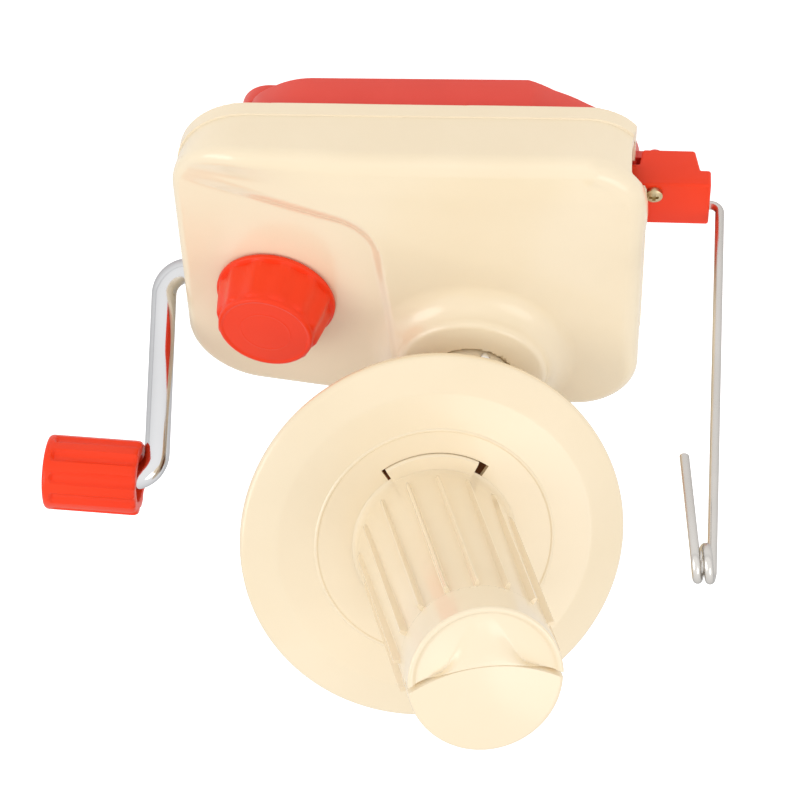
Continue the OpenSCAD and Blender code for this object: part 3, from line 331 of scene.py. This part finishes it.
def casing_field(p):
    x, y, z = p[..., 0], p[..., 1], p[..., 2]
    ledge = 0.45 * ease((z - 15.4) / 0.2)
    draft = 0.018 * np.maximum(z - 11, 0) + ledge
    end = np.where(x < 0, 63.3 - ledge + 1.5 * ease((z - 12) / 12), 64 - draft)
    skew = np.where(y > 0, y - 0.0144 * x * np.clip(y / 48, 0, 1), y)
    wall = box_plan(x, skew, end, 48.9 - draft, np.where(x < 0, 20, 17.5))
    top = casing_top(x, y)
    rho = np.hypot(x - 16.8, y + 26)
    flare = np.where(rho > 21, 0.8, 1) * (rho - 21)
    cone = 0.974 * (z - 43 + 0.2326 * (rho - 12.4))
    crown = rounded_or(0.98 * (z - top), rounded_and(flare, cone, 1.5), 6.8)
    soft = 4.6 - 2 * ease((-x - 50) / 10)
    soft = soft + (2.2 + 1.3 * ease((x + 10) / 20) - soft) * ease((-y - 22) / 16)
    body = rounded_and(wall, crown, soft)
    body = rounded_and(body, 11 - z, 0.35)
    body = np.maximum(body, -np.maximum(np.maximum(60.2 - 1.2 * ease((z - 11) / 8) - x, 31 - y), z - 28.6))
    # Lobe over the open corner
    chain = ((49.5, 44.6, 30.8), (53.5, 42.7, 30.4), (57.1, 40.2, 30), (59.3, 37.4, 29.6), (60.6, 32.3, 29.2),
             (61, 28.2, 28.8), (60.8, 24.4, 28.2), (60.2, 20, 27))
    lobe = np.full(x.shape, 99.0)
    for a, b in zip(chain[:-1], chain[1:]):
        a, run = np.array(a), np.array(b) - np.array(a)
        t = np.clip(((p - a) @ run) / (run @ run), 0, 1)
        lobe = np.minimum(lobe, np.linalg.norm(p - a - t[..., None] * run, axis=-1) - 2.3)
    body = rounded_or(body, lobe, 1.8)
    # Hollow, with the bosses left standing in it
    hollow = rounded_and(rounded_and(wall + 2.4, z - top + 2.4, 2), 13.4 - z, 0.3)
    plan = box_plan(x - 7.5, y, 54.55, 47.5, np.where(x > 7.5, 31, 20))
    hollow = np.minimum(hollow, np.maximum(plan + 2.4, z - 14))
    for bx, by in casing_screws:
        hollow = np.maximum(hollow, 3.6 - np.hypot(x - bx, y - by))
    along = (p - clamp_foot) @ clamp_axis
    round_clamp = np.linalg.norm(p - clamp_foot - along[..., None] * clamp_axis, axis=-1)
    hollow = np.maximum(hollow, -np.maximum(round_clamp - 5.6, 19.7 - along))
    hollow = np.maximum(hollow, -np.maximum(rho - 13, 30.6 - z))
    crank = np.hypot(y + 18, z - 12.5)
    boss = np.maximum(np.maximum(crank - 7.2, x + 46.05), -62.25 - x)
    hollow = np.maximum(hollow, -boss)
    body = np.minimum(np.maximum(body, -hollow), boss)
    # Holes: neck, main bearing, crank, clamp screw, screw pilots, bracket's bay and its screw head
    for hole in (np.maximum(rho - 12.4, 35 - z), np.maximum(rho - 8, 29 - z), np.maximum(crank - 4.8, x + 54),
                 np.maximum(crank - 6.3, np.maximum(-54.05 - x, x + 44)), round_clamp - 3.4,
                 np.maximum(np.maximum(np.maximum(56.05 - x, np.abs(y - 23.3) - 8.1), z - 21.2), 5 - z),
                 np.maximum(np.hypot(x - 65.35, y - 27.6) - 2.7, np.abs(z - 22.3) - 1.3),
                 np.maximum(np.hypot(x - 36.22, y + 18) - 2, z - 32.8)):
        body = np.maximum(body, -hole)
    for bx, by in casing_screws:
        body = np.maximum(body, -np.maximum(np.hypot(x - bx, y - by) - 1.35, z - 25))
    return body


casing_levels = (
    np.concatenate([np.arange(-66, -4, 0.7), np.arange(-3.9, 69, 0.95)]),
    np.concatenate([np.arange(-51.3, 17.5, 0.9), np.arange(18, 38, 0.55), np.arange(38.6, 52, 0.75)]),
    np.concatenate([np.arange(4, 10.5, 1.1), [10.8, 11.15, 11.5, 12.2, 13.0, 13.55, 14.2, 14.8, 15.2, 15.37, 15.47, 15.57, 15.7, 16.1],
                    np.arange(16.7, 22.5, 0.85), np.arange(23, 35.2, 0.55), np.arange(35.8, 45, 0.75)]))
casing_mesh, casing_normals = field_mesh("upper_casing_skin", casing_field, casing_levels)
casing_mesh.normals_split_custom_set_from_vertices(casing_normals.tolist())
add_piece("casing", casing_mesh, cream, "cream_plastic", "housing", "upper_casing")


# Base shell: red moulded tray under the casing, with pillars for the screws and sleeves for the clamp's pins. Its
# outer edge is rounded a little, its corners at the guide's end are flattened, and its near side runs out slightly.
red = finish("red_plastic", (0.95, 0.050, 0.008), (0.91, 0.042, 0.006), 0.38, spread=0.1, bump=0.04, coat=0.08, gloss=0.25)


def soften(node, name, material, slot, body, width, picks, sharp=35):
    """Copy of a CAD node whose picked edges are rounded."""
    bm = bmesh.new()
    bm.from_mesh(nodes[node].data)
    bmesh.ops.scale(bm, vec=(1000, 1000, 1000), verts=bm.verts)
    bmesh.ops.remove_doubles(bm, verts=bm.verts, dist=0.002)
    bmesh.ops.dissolve_limit(bm, angle_limit=math.radians(0.6), verts=bm.verts, edges=bm.edges)
    edges = [e for e in bm.edges if len(e.link_faces) == 2 and e.calc_face_angle(0) > math.radians(30)
             and picks((e.verts[0].co + e.verts[1].co) / 2, (e.verts[1].co - e.verts[0].co).normalized())]
    bmesh.ops.bevel(bm, geom=edges, offset=width, offset_type="OFFSET", segments=3, profile=0.5, affect="EDGES",
                    clamp_overlap=True, material=-1)
    bmesh.ops.scale(bm, vec=(0.001, 0.001, 0.001), verts=bm.verts)
    mesh = bpy.data.meshes.new(name)
    bm.to_mesh(mesh)
    bm.free()
    mesh.shade_smooth()
    mesh.set_sharp_from_angle(angle=math.radians(sharp))
    return add_piece(name, mesh, material, slot, body, node)


def base_rim(middle, run):
    corner = 31 if middle.x > 7.5 else 20
    half = Vector((54.55, 47.5)) - Vector((corner, corner))
    out = Vector((abs(middle.x - 7.5) - half.x, abs(middle.y) - half.y))
    reach = out.length if min(out) > 0 else max(out)
    return abs(reach - corner) < 0.4 and (middle.z < 0.9 or middle.z > 10.9)


# A darker copy of the red plastic for the base and jaw: painted shade for walls that face away from the lamps.
shaded_base_red = finish("shaded_base_red", (0.80, 0.070, 0.045), (0.76, 0.060, 0.038), 0.36, spread=0.1, bump=0.04, coat=0.08, gloss=0.35)
shell = soften("base_shell", "base_tray", shaded_base_red, "red_plastic", "housing", 0.6, base_rim)
for v in shell.data.vertices:
    x, y = v.co.x * 1000, v.co.y * 1000
    spot = Vector((x - 31.05, abs(y) - 16.5))
    bearing = math.degrees(math.atan2(spot.y, spot.x))
    if spot.length > 24 and 4 < bearing < 92:
        flat = float(np.interp(bearing, (4, 23, 35, 46, 57, 67, 76, 84, 92), (0, 0.2, -0.9, -2.2, -2.8, -2.5, -2.1, -1, 0)))
        spot *= 1 + flat * float(ease((spot.length - 24) / 4)) / spot.length
        x, y = spot.x + 31.05, math.copysign(spot.y + 16.5, y)
    if y > 40:
        y += 0.031 * (x + 17) * float(ease((y - 40) / 5) * ease((40 - x) / 14))
    v.co.x, v.co.y = x / 1000, y / 1000


# Clamp: red jaw plate with a rubber pad on it, drawn up by a steel screw and kept square by two pins. The screw is
# fixed in the knob. The jaw's rim is rounded.
steel = finish("plated_steel", (0.60, 0.58, 0.55), (0.50, 0.48, 0.46), 0.28, spread=0.2, bump=0.05, grain=1500.0, metal=1.0)
rubber = finish("pad_rubber", (0.020, 0.020, 0.020), (0.035, 0.034, 0.033), 0.75, bump=0.3, grain=2500.0)


def jaw_rim(middle, run):
    half = Vector((23, 37.4))
    x, y = middle.x + 47.65 - 23, middle.y
    return (abs(abs(y) - half.y) < 0.2 or abs(x) > half.x - 0.2 or math.hypot(x, y) > 33) and middle.z < 0


# The jaw takes the darker red too: painted shade.
soften("clamp_jaw", "jaw_plate", shaded_base_red, "red_plastic", "jaw", 0.6, jaw_rim)


# Clamp knob: red, hollow below, with twelve broad shallow flutes over a thin flange, and a smaller smooth disc with
# a sunk face on top. It is turned by hand and carries the clamp screw.
def finish_mesh(name, bm, place=Matrix.Identity(4), sharp=35):
    """Brings a piece drawn in its own frame to its place in the object, in metres."""
    bmesh.ops.remove_doubles(bm, verts=bm.verts, dist=0.0005)
    bmesh.ops.recalc_face_normals(bm, faces=bm.faces)
    bmesh.ops.transform(bm, matrix=Matrix.Scale(0.001, 4) @ place, verts=bm.verts)
    mesh = bpy.data.meshes.new(name)
    bm.to_mesh(mesh)
    bm.free()
    mesh.shade_smooth()
    mesh.set_sharp_from_angle(angle=math.radians(sharp))
    return mesh


def turn_outline(bm, outline, segments):
    """Spins an outline of (radius, height) points round Z."""
    verts = [bm.verts.new((r, 0, z)) for r, z in outline]
    edges = [bm.edges.new(pair) for pair in zip(verts[:-1], verts[1:])]
    bmesh.ops.spin(bm, geom=verts + edges, cent=(0, 0, 0), axis=(0, 0, 1), angle=math.tau, steps=segments,
                   use_merge=True)
    bmesh.ops.remove_doubles(bm, verts=bm.verts, dist=0.0005)


def fluted(angle, radius, count, groove, depth):
    """Radius of a wall that has round grooves cut along it."""
    off = (angle + math.pi / count) % (math.tau / count) - math.pi / count
    centre = radius + groove - depth
    room = groove ** 2 - (centre * math.sin(off)) ** 2
    return min(radius, centre * math.cos(off) - math.sqrt(room)) if room > 0 else radius


bm = bmesh.new()
turn_outline(bm, [
    (0, 10.2), (3, 10.2), (3, 0.3), (3.3, 0), (7.2, 0), (7.5, 0.3), (7.5, 9.7), (12, 9.7), (12, 0.5), (12.4, 0),
    (16.5, 0), (16.8, 0.3), (16.8, 1.2), (16.55, 1.5), (16.3, 1.55), (16.1, 1.8), (15.8, 4.2), (15.4, 6.7),
    (15.0, 9), (14.55, 11.5), (14.4, 12.1), (14.1, 12.6), (13.8, 12.8), (13.5, 12.85), (13.38, 12.95),
    (13.35, 13.5), (13.2, 13.85), (12.85, 14.1), (12.4, 14.12), (12.1, 14), (11.95, 13.88), (11.7, 13.85),
    (11.3, 13.85), (7.6, 13.85), (7.3, 13.85), (7.15, 13.9), (6.95, 13.9), (6.8, 13.85), (6.5, 13.85), (0, 13.85)], 240)
for v in bm.verts:
    reach = v.co.xy.length
    if reach > 13.45 and 1.56 < v.co.z < 12.9:
        wave = 0.5 + 0.5 * math.cos(12 * math.atan2(v.co.y, v.co.x))
        v.co.xy *= max(13.45, reach - 0.8 * wave ** 0.8) / reach
clamp_place = Matrix.Translation((-33.6, -9.5, 0)) @ Matrix.Rotation(math.radians(-8.1), 4, "Y")
add_piece("knob", finish_mesh("knob", bm, clamp_place @ Matrix.Translation((0, 0, 28.7)), 50), red, "red_plastic",
          "knob", "clamp_knob")


# Guide bracket: red block under the open corner, screwed to the base's lug, with a step in its outer end and a foot
# that stands in from its inner end. The guide wire turns stiffly in its bore, and a zinc screw holds it.
def cut_away(piece, bm):
    """Cuts a bmesh solid, in millimetres, out of a piece."""
    tool = bpy.data.objects.new("tool", finish_mesh("tool", bm))
    bpy.context.scene.collection.objects.link(tool)
    cutter = piece.modifiers.new("cut", "BOOLEAN")
    cutter.operation = "DIFFERENCE"
    cutter.solver = "EXACT"
    cutter.object = tool
    bpy.context.view_layer.update()
    made = bpy.data.meshes.new_from_object(piece.evaluated_get(bpy.context.evaluated_depsgraph_get()))
    piece.modifiers.remove(cutter)
    piece.data = made
    made.shade_smooth()
    made.set_sharp_from_angle(angle=math.radians(35))
    bpy.data.objects.remove(tool)


bm = bmesh.new()
outline = ((62.2, 8), (76.25, 8), (77.65, 15.2), (80.45, 15.2), (80.45, 21), (57.05, 21), (57.05, 13.5), (61.3, 13.5))
face = bm.faces.new([bm.verts.new((x, 31, z)) for x, z in outline])
grown = bmesh.ops.extrude_face_region(bm, geom=[face])["geom"]
bmesh.ops.translate(bm, vec=(0, -15.4, 0), verts=[g for g in grown if isinstance(g, bmesh.types.BMVert)])
bmesh.ops.recalc_face_normals(bm, faces=bm.faces)
bmesh.ops.bevel(bm, geom=bm.edges[:], offset=0.75, offset_type="OFFSET", segments=4, profile=0.5, affect="EDGES",
                material=-1)
bracket = add_piece("bracket", finish_mesh("bracket", bm), red, "red_plastic", "housing", "guide_bracket")
bm = bmesh.new()
bmesh.ops.create_cone(bm, cap_ends=True, segments=48, radius1=1.5, radius2=1.5, depth=40,
                      matrix=Matrix.Translation((65.35, 27.6, 12)))
bmesh.ops.create_cone(bm, cap_ends=True, segments=48, radius1=1.28, radius2=1.28, depth=20,
                      matrix=Matrix.Translation((75.25, 19.2, 17)) @ Matrix.Rotation(math.pi / 2, 4, "Y"))
cut_away(bracket, bm)
zinc = finish("zinc_screw", (0.62, 0.50, 0.30), (0.50, 0.40, 0.24), 0.32, spread=0.25, bump=0.08, grain=1800.0, metal=1.0)


# Guide wire: spring steel, 2.4 mm thick, bent up out of the bracket, wound one and a half turns into the yarn's eye,
# and left with a short open tail. It turns in the bracket so that the winder packs flat.
# The wire's colour darkens towards its outline: painted dark reflection.
wire_steel = finish("wire_steel", (0.82, 0.79, 0.75), (0.72, 0.69, 0.65), 0.24, spread=0.2, bump=0.06, grain=1600.0,
                    metal=1.0, grazing_shade=(0.30, 0.28, 0.26))


def start_rod(bm, place, radius, segments):
    made = bmesh.ops.create_circle(bm, cap_ends=True, segments=segments, radius=radius, matrix=place)
    return made["verts"][0].link_faces[0]


def run_on(bm, face, step):
    """Draws the rod straight on from its end face and returns the new end."""
    grown = bmesh.ops.extrude_face_region(bm, geom=[face])["geom"]
    bmesh.ops.translate(bm, vec=step, verts=[g for g in grown if isinstance(g, bmesh.types.BMVert)])
    return next(g for g in grown if isinstance(g, bmesh.types.BMFace))


def bend_on(bm, face, centre, axis, angle, steps, rise=(0, 0, 0)):
    """Bends the rod round an axis from its end face, rising with each step, and returns the new end."""
    made = bmesh.ops.spin(bm, geom=[face], cent=centre, axis=axis, dvec=rise, angle=angle, steps=steps)
    return next(g for g in made["geom_last"] if isinstance(g, bmesh.types.BMFace))


def close_rod(bm, ends, chamfer):
    """Leaves only the two end faces across the rod, and breaks their edges."""
    across = [f for f in bm.faces if len(f.verts) > 4 and f not in ends]
    bmesh.ops.delete(bm, geom=across, context="FACES_ONLY")
    rims = [e for f in ends for e in f.edges]
    bmesh.ops.bevel(bm, geom=rims, offset=chamfer, offset_type="OFFSET", segments=3, profile=0.5, affect="EDGES",
                    material=-1)


leg = 140 - 17 - 2.7
pitch = 2 * (1.2 + 0.07) + 0.45
lean = Matrix.Rotation(math.radians(-1.5), 4, "Y")
bm = bmesh.new()
upright = start_rod(bm, Matrix.Translation((2.7, 0, 0)), 1.22, 24)
end = run_on(bm, upright, (0, 0, leg))
end = bend_on(bm, end, (2.7, 3.85, leg), (1, 0, 0), math.radians(-540), 66, (-pitch / 44, 0, 0))
tip = run_on(bm, end, (-30 * math.sin(math.radians(6.3)), 0, -30))
end = bend_on(bm, upright, (0, 0, 0), (0, 1, 0), math.radians(91.5), 12)
inlet_end = run_on(bm, end, lean.inverted().to_3x3() @ Vector((-12, 0, 0)))
close_rod(bm, [tip, inlet_end], 0.3)
add_piece("wire", finish_mesh("wire", bm, Matrix.Translation((80.65, 19.2, 19.7)) @ lean, 40), wire_steel,
          "plated_steel", "guide", "guide_wire")


# Crank: one chrome-plated steel rod, bent twice, that carries the crown gear inside and the hand grip outside. It
# leans out a little, and its handle tilts towards the casing.
# The rod's colour darkens towards its outline: painted dark reflection.
chrome = finish("chrome_rod", (0.80, 0.80, 0.81), (0.74, 0.74, 0.75), 0.11, spread=0.06, bump=0.015, grain=700.0, metal=1.0,
                grazing_shade=(0.28, 0.29, 0.31))
crank_place = Matrix.Translation((0, -18, 12.5)) @ Matrix.Rotation(math.radians(28), 4, "X")
bend_1 = Vector((-64.25, 0, 7))
lean = math.radians(0.8)
along = Vector((math.sin(lean), 0, math.cos(lean)))
out = Vector((-math.cos(lean), 0, math.sin(lean)))
bend_2 = bend_1 + 14 * out + 46 * along
tilt_2 = math.radians(2.5)
bm = bmesh.new()
inner = start_rod(bm, Matrix.Translation((29.47, 0, 0)) @ Matrix.Rotation(math.pi / 2, 4, "Y"), 3.55, 48)
end = run_on(bm, inner, (-93.72, 0, 0))
end = bend_on(bm, end, bend_1, (0, 1, 0), math.radians(90.8), 20)
end = run_on(bm, end, 46 * along)
end = bend_on(bm, end, bend_2, (0, 1, 0), math.radians(-93.3), 20)
outer = run_on(bm, end, 21.4 * Vector((-math.cos(tilt_2), 0, -math.sin(tilt_2))))
close_rod(bm, [inner, outer], 0.5)
add_piece("crank_bar", finish_mesh("crank_bar", bm, crank_place, 40), chrome, "plated_steel", "crank", "crank_rod")


# Hand grip: red sleeve that turns freely on the rod, with ten broad flats between narrow grooves, open at its inner
# end and closed by a pressed-in plug at the outer one.
bm = bmesh.new()
turn_outline(bm, [
    (3.6, 3.4), (6, 3.4), (6, 0.3), (6.3, 0), (9.6, 0), (10.1, 0.15), (10.4, 0.6), (10.5, 1.1), (10.5, 2), (10.5, 2.3),
    (10.5, 3), (10.5, 13), (10.5, 24.6), (10.4, 25.4), (10.1, 26), (9.6, 26.2), (7.1, 26.2), (6.7, 26), (6.6, 25.6),
    (6.6, 17.2), (3.6, 17.2), (3.6, 3.4)], 240)
for v in bm.verts:
    reach = v.co.xy.length
    if reach > 9.5 and v.co.z > 2.1:
        depth = 1.0 * min(1, (v.co.z - 2.0) / 0.9)
        body = fluted(math.atan2(v.co.y, v.co.x), 10.5, 10, 2.6, depth)
        v.co.xy *= (reach + body - 10.5) / reach
arm_place = crank_place @ Matrix.Translation((-64.25, 0, 7)) @ Matrix.Rotation(lean, 4, "Y") @ Matrix.Translation(
    (64.25, 0, -7))
grip_place = arm_place @ Matrix.Translation((-78.25, 0, 53)) @ Matrix.Rotation(-tilt_2 - lean, 4, "Y") @ Matrix.Translation(
    (78.25, 0, -53))
sleeve_place = grip_place @ Matrix.Translation((-101.4, 0, 60)) @ Matrix.Rotation(math.pi / 2, 4, "Y")
add_piece("grip_sleeve", finish_mesh("grip_sleeve", bm, sleeve_place, 40), red, "red_plastic", "grip", "crank_grip")


# Spool disc: cream moulding with a bevelled outer band, a turned-down rim, a fine raised circle, and two curved windows
# for the tube's tabs. Screws hold it to the spool's gear.
spool_place = Matrix.Translation((16.8, -26, 119.5)) @ Matrix.Rotation(math.radians(69.7), 4, "Z") @ Matrix.Rotation(
    math.radians(33.2), 4, "Y")


def arc_block(bm, inner_r, outer_r, low, high, start, turn, steps):
    """Block bent round Z, from one angle through another."""
    corners = ((inner_r, low), (outer_r, low), (outer_r, high), (inner_r, high))
    face = bm.faces.new([bm.verts.new((r, 0, z)) for r, z in corners])
    bmesh.ops.rotate(bm, cent=(0, 0, 0), matrix=Matrix.Rotation(start, 3, "Z"), verts=face.verts)
    return bmesh.ops.spin(bm, geom=[face], cent=(0, 0, 0), axis=(0, 0, 1), angle=turn, steps=steps)


bm = bmesh.new()
turn_outline(bm, [
    (6, -45.2), (6, -43), (32.3, -43), (32.5, -42.85), (32.7, -42.72), (33.0, -42.72), (33.2, -42.85), (33.4, -43),
    (43.0, -43), (43.6, -43.06), (44.3, -43.25), (52.3, -45.28), (52.9, -45.5), (53.3, -45.9), (53.5, -46.4),
    (53.5, -47.4), (53.35, -47.9), (52.9, -48.1), (52.3, -48.1), (51.95, -47.8), (51.8, -47.2), (43.2, -45.28),
    (42.4, -45.2), (6, -45.2)], 256)
disc = add_piece("disc", finish_mesh("disc", bm, spool_place), cream, "cream_plastic", "spool", "spool_disc")
bm = bmesh.new()
for half in (0, math.pi):
    arc_block(bm, 21, 26.3, -47, -40, math.radians(-16.5) + half, math.radians(68.5), 28)
bmesh.ops.transform(bm, matrix=spool_place, verts=bm.verts)
cut_away(disc, bm)


# Spool tube: cream, thin walled, with sixteen fine ribs that rise towards the cap and end at a smooth collar. Two tabs
# pass through the disc's windows and hook under it, so that a twist frees the tube.
bm = bmesh.new()
turn_outline(bm, [
    (19.5, -42.95), (22.9, -42.95), (22.7, -42.75), (22.3, -42.3), (21.95, -41.6), (21.7, -40.6), (21.5, -39.4),
    (21.42, -38.3), (21.38, -37.4), (21.35, -36.6), (21.3, -35.6), (21.22, -33), (21, -27), (20.6, -15), (20.25, -3),
    (19.9, 8), (19.5, 20), (19.08, 33.7), (19.07, 34.0), (19.4, 34.02), (19.4, 39.95), (16.7, 39.95), (16.75, 37),
    (3.08, 37), (3.08, 34), (16.85, 34), (19.5, -42.95)], 640)
for v in bm.verts:
    reach, z = v.co.xy.length, v.co.z
    if reach > 20.6 - 0.034 * (z + 43) and -38.2 < z < 34.01:
        off = (math.atan2(v.co.y, v.co.x) - math.radians(7)) % (math.tau / 16) - math.tau / 32
        tall, half = np.interp(z, (-38.3, -36.6, -33, 33.7), (0.05, 0.75, 1.05, 2.1)), np.interp(z, (-38.3, -35), (0.25, 0.5))
        v.co.xy *= 1 + float(tall * (1 - ease((abs(off) * reach - 0.5 * half) / half))) / reach
for half in (0, math.pi):
    tabs = bmesh.new()
    corners = ((21.4, -46.9), (28.4, -46.9), (28.4, -45.35), (26.15, -45.35), (26.15, -42.2), (25.6, -41.7),
               (21.9, -41.7), (21.4, -42.2))
    face = tabs.faces.new([tabs.verts.new((r, 0, z)) for r, z in corners])
    bmesh.ops.rotate(tabs, cent=(0, 0, 0), matrix=Matrix.Rotation(math.radians(-9.5) + half, 3, "Z"), verts=face.verts)
    bmesh.ops.spin(tabs, geom=[face], cent=(0, 0, 0), axis=(0, 0, 1), angle=math.radians(59), steps=24)
    part = bpy.data.meshes.new("tabs")
    tabs.to_mesh(part)
    tabs.free()
    bm.from_mesh(part)
add_piece("tube", finish_mesh("tube", bm, spool_place, 32), cream, "cream_plastic", "tube", "spool_tube")


# Spool cap: cream, pressed into the tube, dished inside a rounded rim over one half and gently domed over the other.
# Between them runs a curved slit, open at both sides, that holds the yarn's end; a small pip marks the middle.
def cap_field(p):
    u, v, z = p[..., 0], p[..., 1], p[..., 2]
    r = np.hypot(u, v)
    lean = u + 4.2 * (1 - (v / 18) ** 2)
    dish = 46.4 + 0.9 * (r / 17) ** 2 + 0.9 * ease((r - 17.2) / 1.3)
    dome = 48.9 - (r / 19.5) ** 2 * 1.3
    step = 0.25 + 13 * (1 - ease((np.abs(v) - 1) / 10))
    top = dish + (dome - dish) * ease(lean / step + 1)
    body = rounded_and(r - 19.5, 0.97 * (z - top), 0.8)
    body = np.maximum(rounded_and(body, 34.3 - z, 0.3), 17.2 - np.maximum(r, z - 22.8))
    pip = np.sqrt((u + 4) ** 2 + (v - 1.2) ** 2 + ((z - 46.6) / 0.6) ** 2) - 0.95
    return rounded_or(body, pip * 0.7, 0.15)


cap_levels = (np.concatenate([np.arange(-20.6, -4.6, 0.5), np.arange(-4.5, 1.5, 0.15), np.arange(1.6, 21, 0.5)]),
              np.arange(-20.6, 21, 0.45),
              np.concatenate([[33.8, 34.15, 34.5, 35.2], np.arange(36.2, 44, 1), np.arange(44.2, 49.4, 0.4)]))
cap_place = spool_place @ Matrix.Rotation(math.radians(201), 4, "Z")
cap_mesh, cap_normals = field_mesh("cap_skin", cap_field, cap_levels)
cap_mesh.transform(Matrix.Scale(0.001, 4) @ cap_place @ Matrix.Scale(1000, 4))
cap_mesh.normals_split_custom_set_from_vertices((cap_normals @ np.array(cap_place.to_3x3()).T).tolist())
cap = add_piece("cap", cap_mesh, cream, "cream_plastic", "tube", "spool_cap")
bm = bmesh.new()
bmesh.ops.create_grid(bm, x_segments=48, y_segments=1, size=1)
for v in bm.verts:
    reach = 20.8 * v.co.x
    half = 0.1 + 0.7 * max(0, (abs(reach) - 5) / 13.5) ** 1.6
    v.co = (0.3 - 4.2 * (1 - (reach / 18) ** 2) + math.copysign(half, v.co.y), reach, 41.6)
grown = bmesh.ops.extrude_face_region(bm, geom=bm.faces[:])["geom"]
bmesh.ops.translate(bm, vec=(0, 0, 9), verts=[g for g in grown if isinstance(g, bmesh.types.BMVert)])
bmesh.ops.transform(bm, matrix=cap_place, verts=bm.verts)
cut_away(cap, bm)


# Head set screw: a bright steel screw with a domed end, which shows over the neck's rim.
bright = finish("bright_steel", (0.93, 0.92, 0.90), (0.84, 0.83, 0.81), 0.42, spread=0.2, bump=0.05, grain=2000.0, metal=1.0)
bm = bmesh.new()
turn_outline(bm, [(0, 5), (1.28, 5), (1.28, 12.1), (1.18, 12.4), (0.9, 12.65), (0.5, 12.8), (0, 12.85)], 32)
add_piece("set_screw", finish_mesh("set_screw", bm, Matrix.Translation((16.8, -26, 44.4)) @ Matrix.Rotation(
    math.radians(69.7), 4, "Z") @ Matrix.Rotation(math.pi / 2, 4, "Y")), bright, "plated_steel", "head",
    "head_set_screw")


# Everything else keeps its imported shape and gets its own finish: nylon gears and bushes, steel pins, clips and screws,
# the cream head that carries the leaning axle, the rubber pad and the red plug of the grip.
nylon = finish("white_nylon", (0.86, 0.78, 0.62), (0.82, 0.73, 0.57), 0.5, bump=0.06)
# The spool gear's dark brown is painted shade: it stands for the dark seen under the disc through its windows.
own = {"bracket_screw": zinc, "spool_gear": finish("painted_shade_brown", (0.20, 0.075, 0.022), (0.16, 0.058, 0.016), 0.5, bump=0.06)}
skins = {"cream_plastic": cream, "red_plastic": red, "white_nylon": nylon, "plated_steel": steel, "rubber_pad": rubber}
for part in frame["record"]["subparts"]:
    mesh = nodes[part["node"]].data
    mesh.materials.clear()
    mesh.materials.append(own.get(part["node"], skins[part["material_slot"]]))
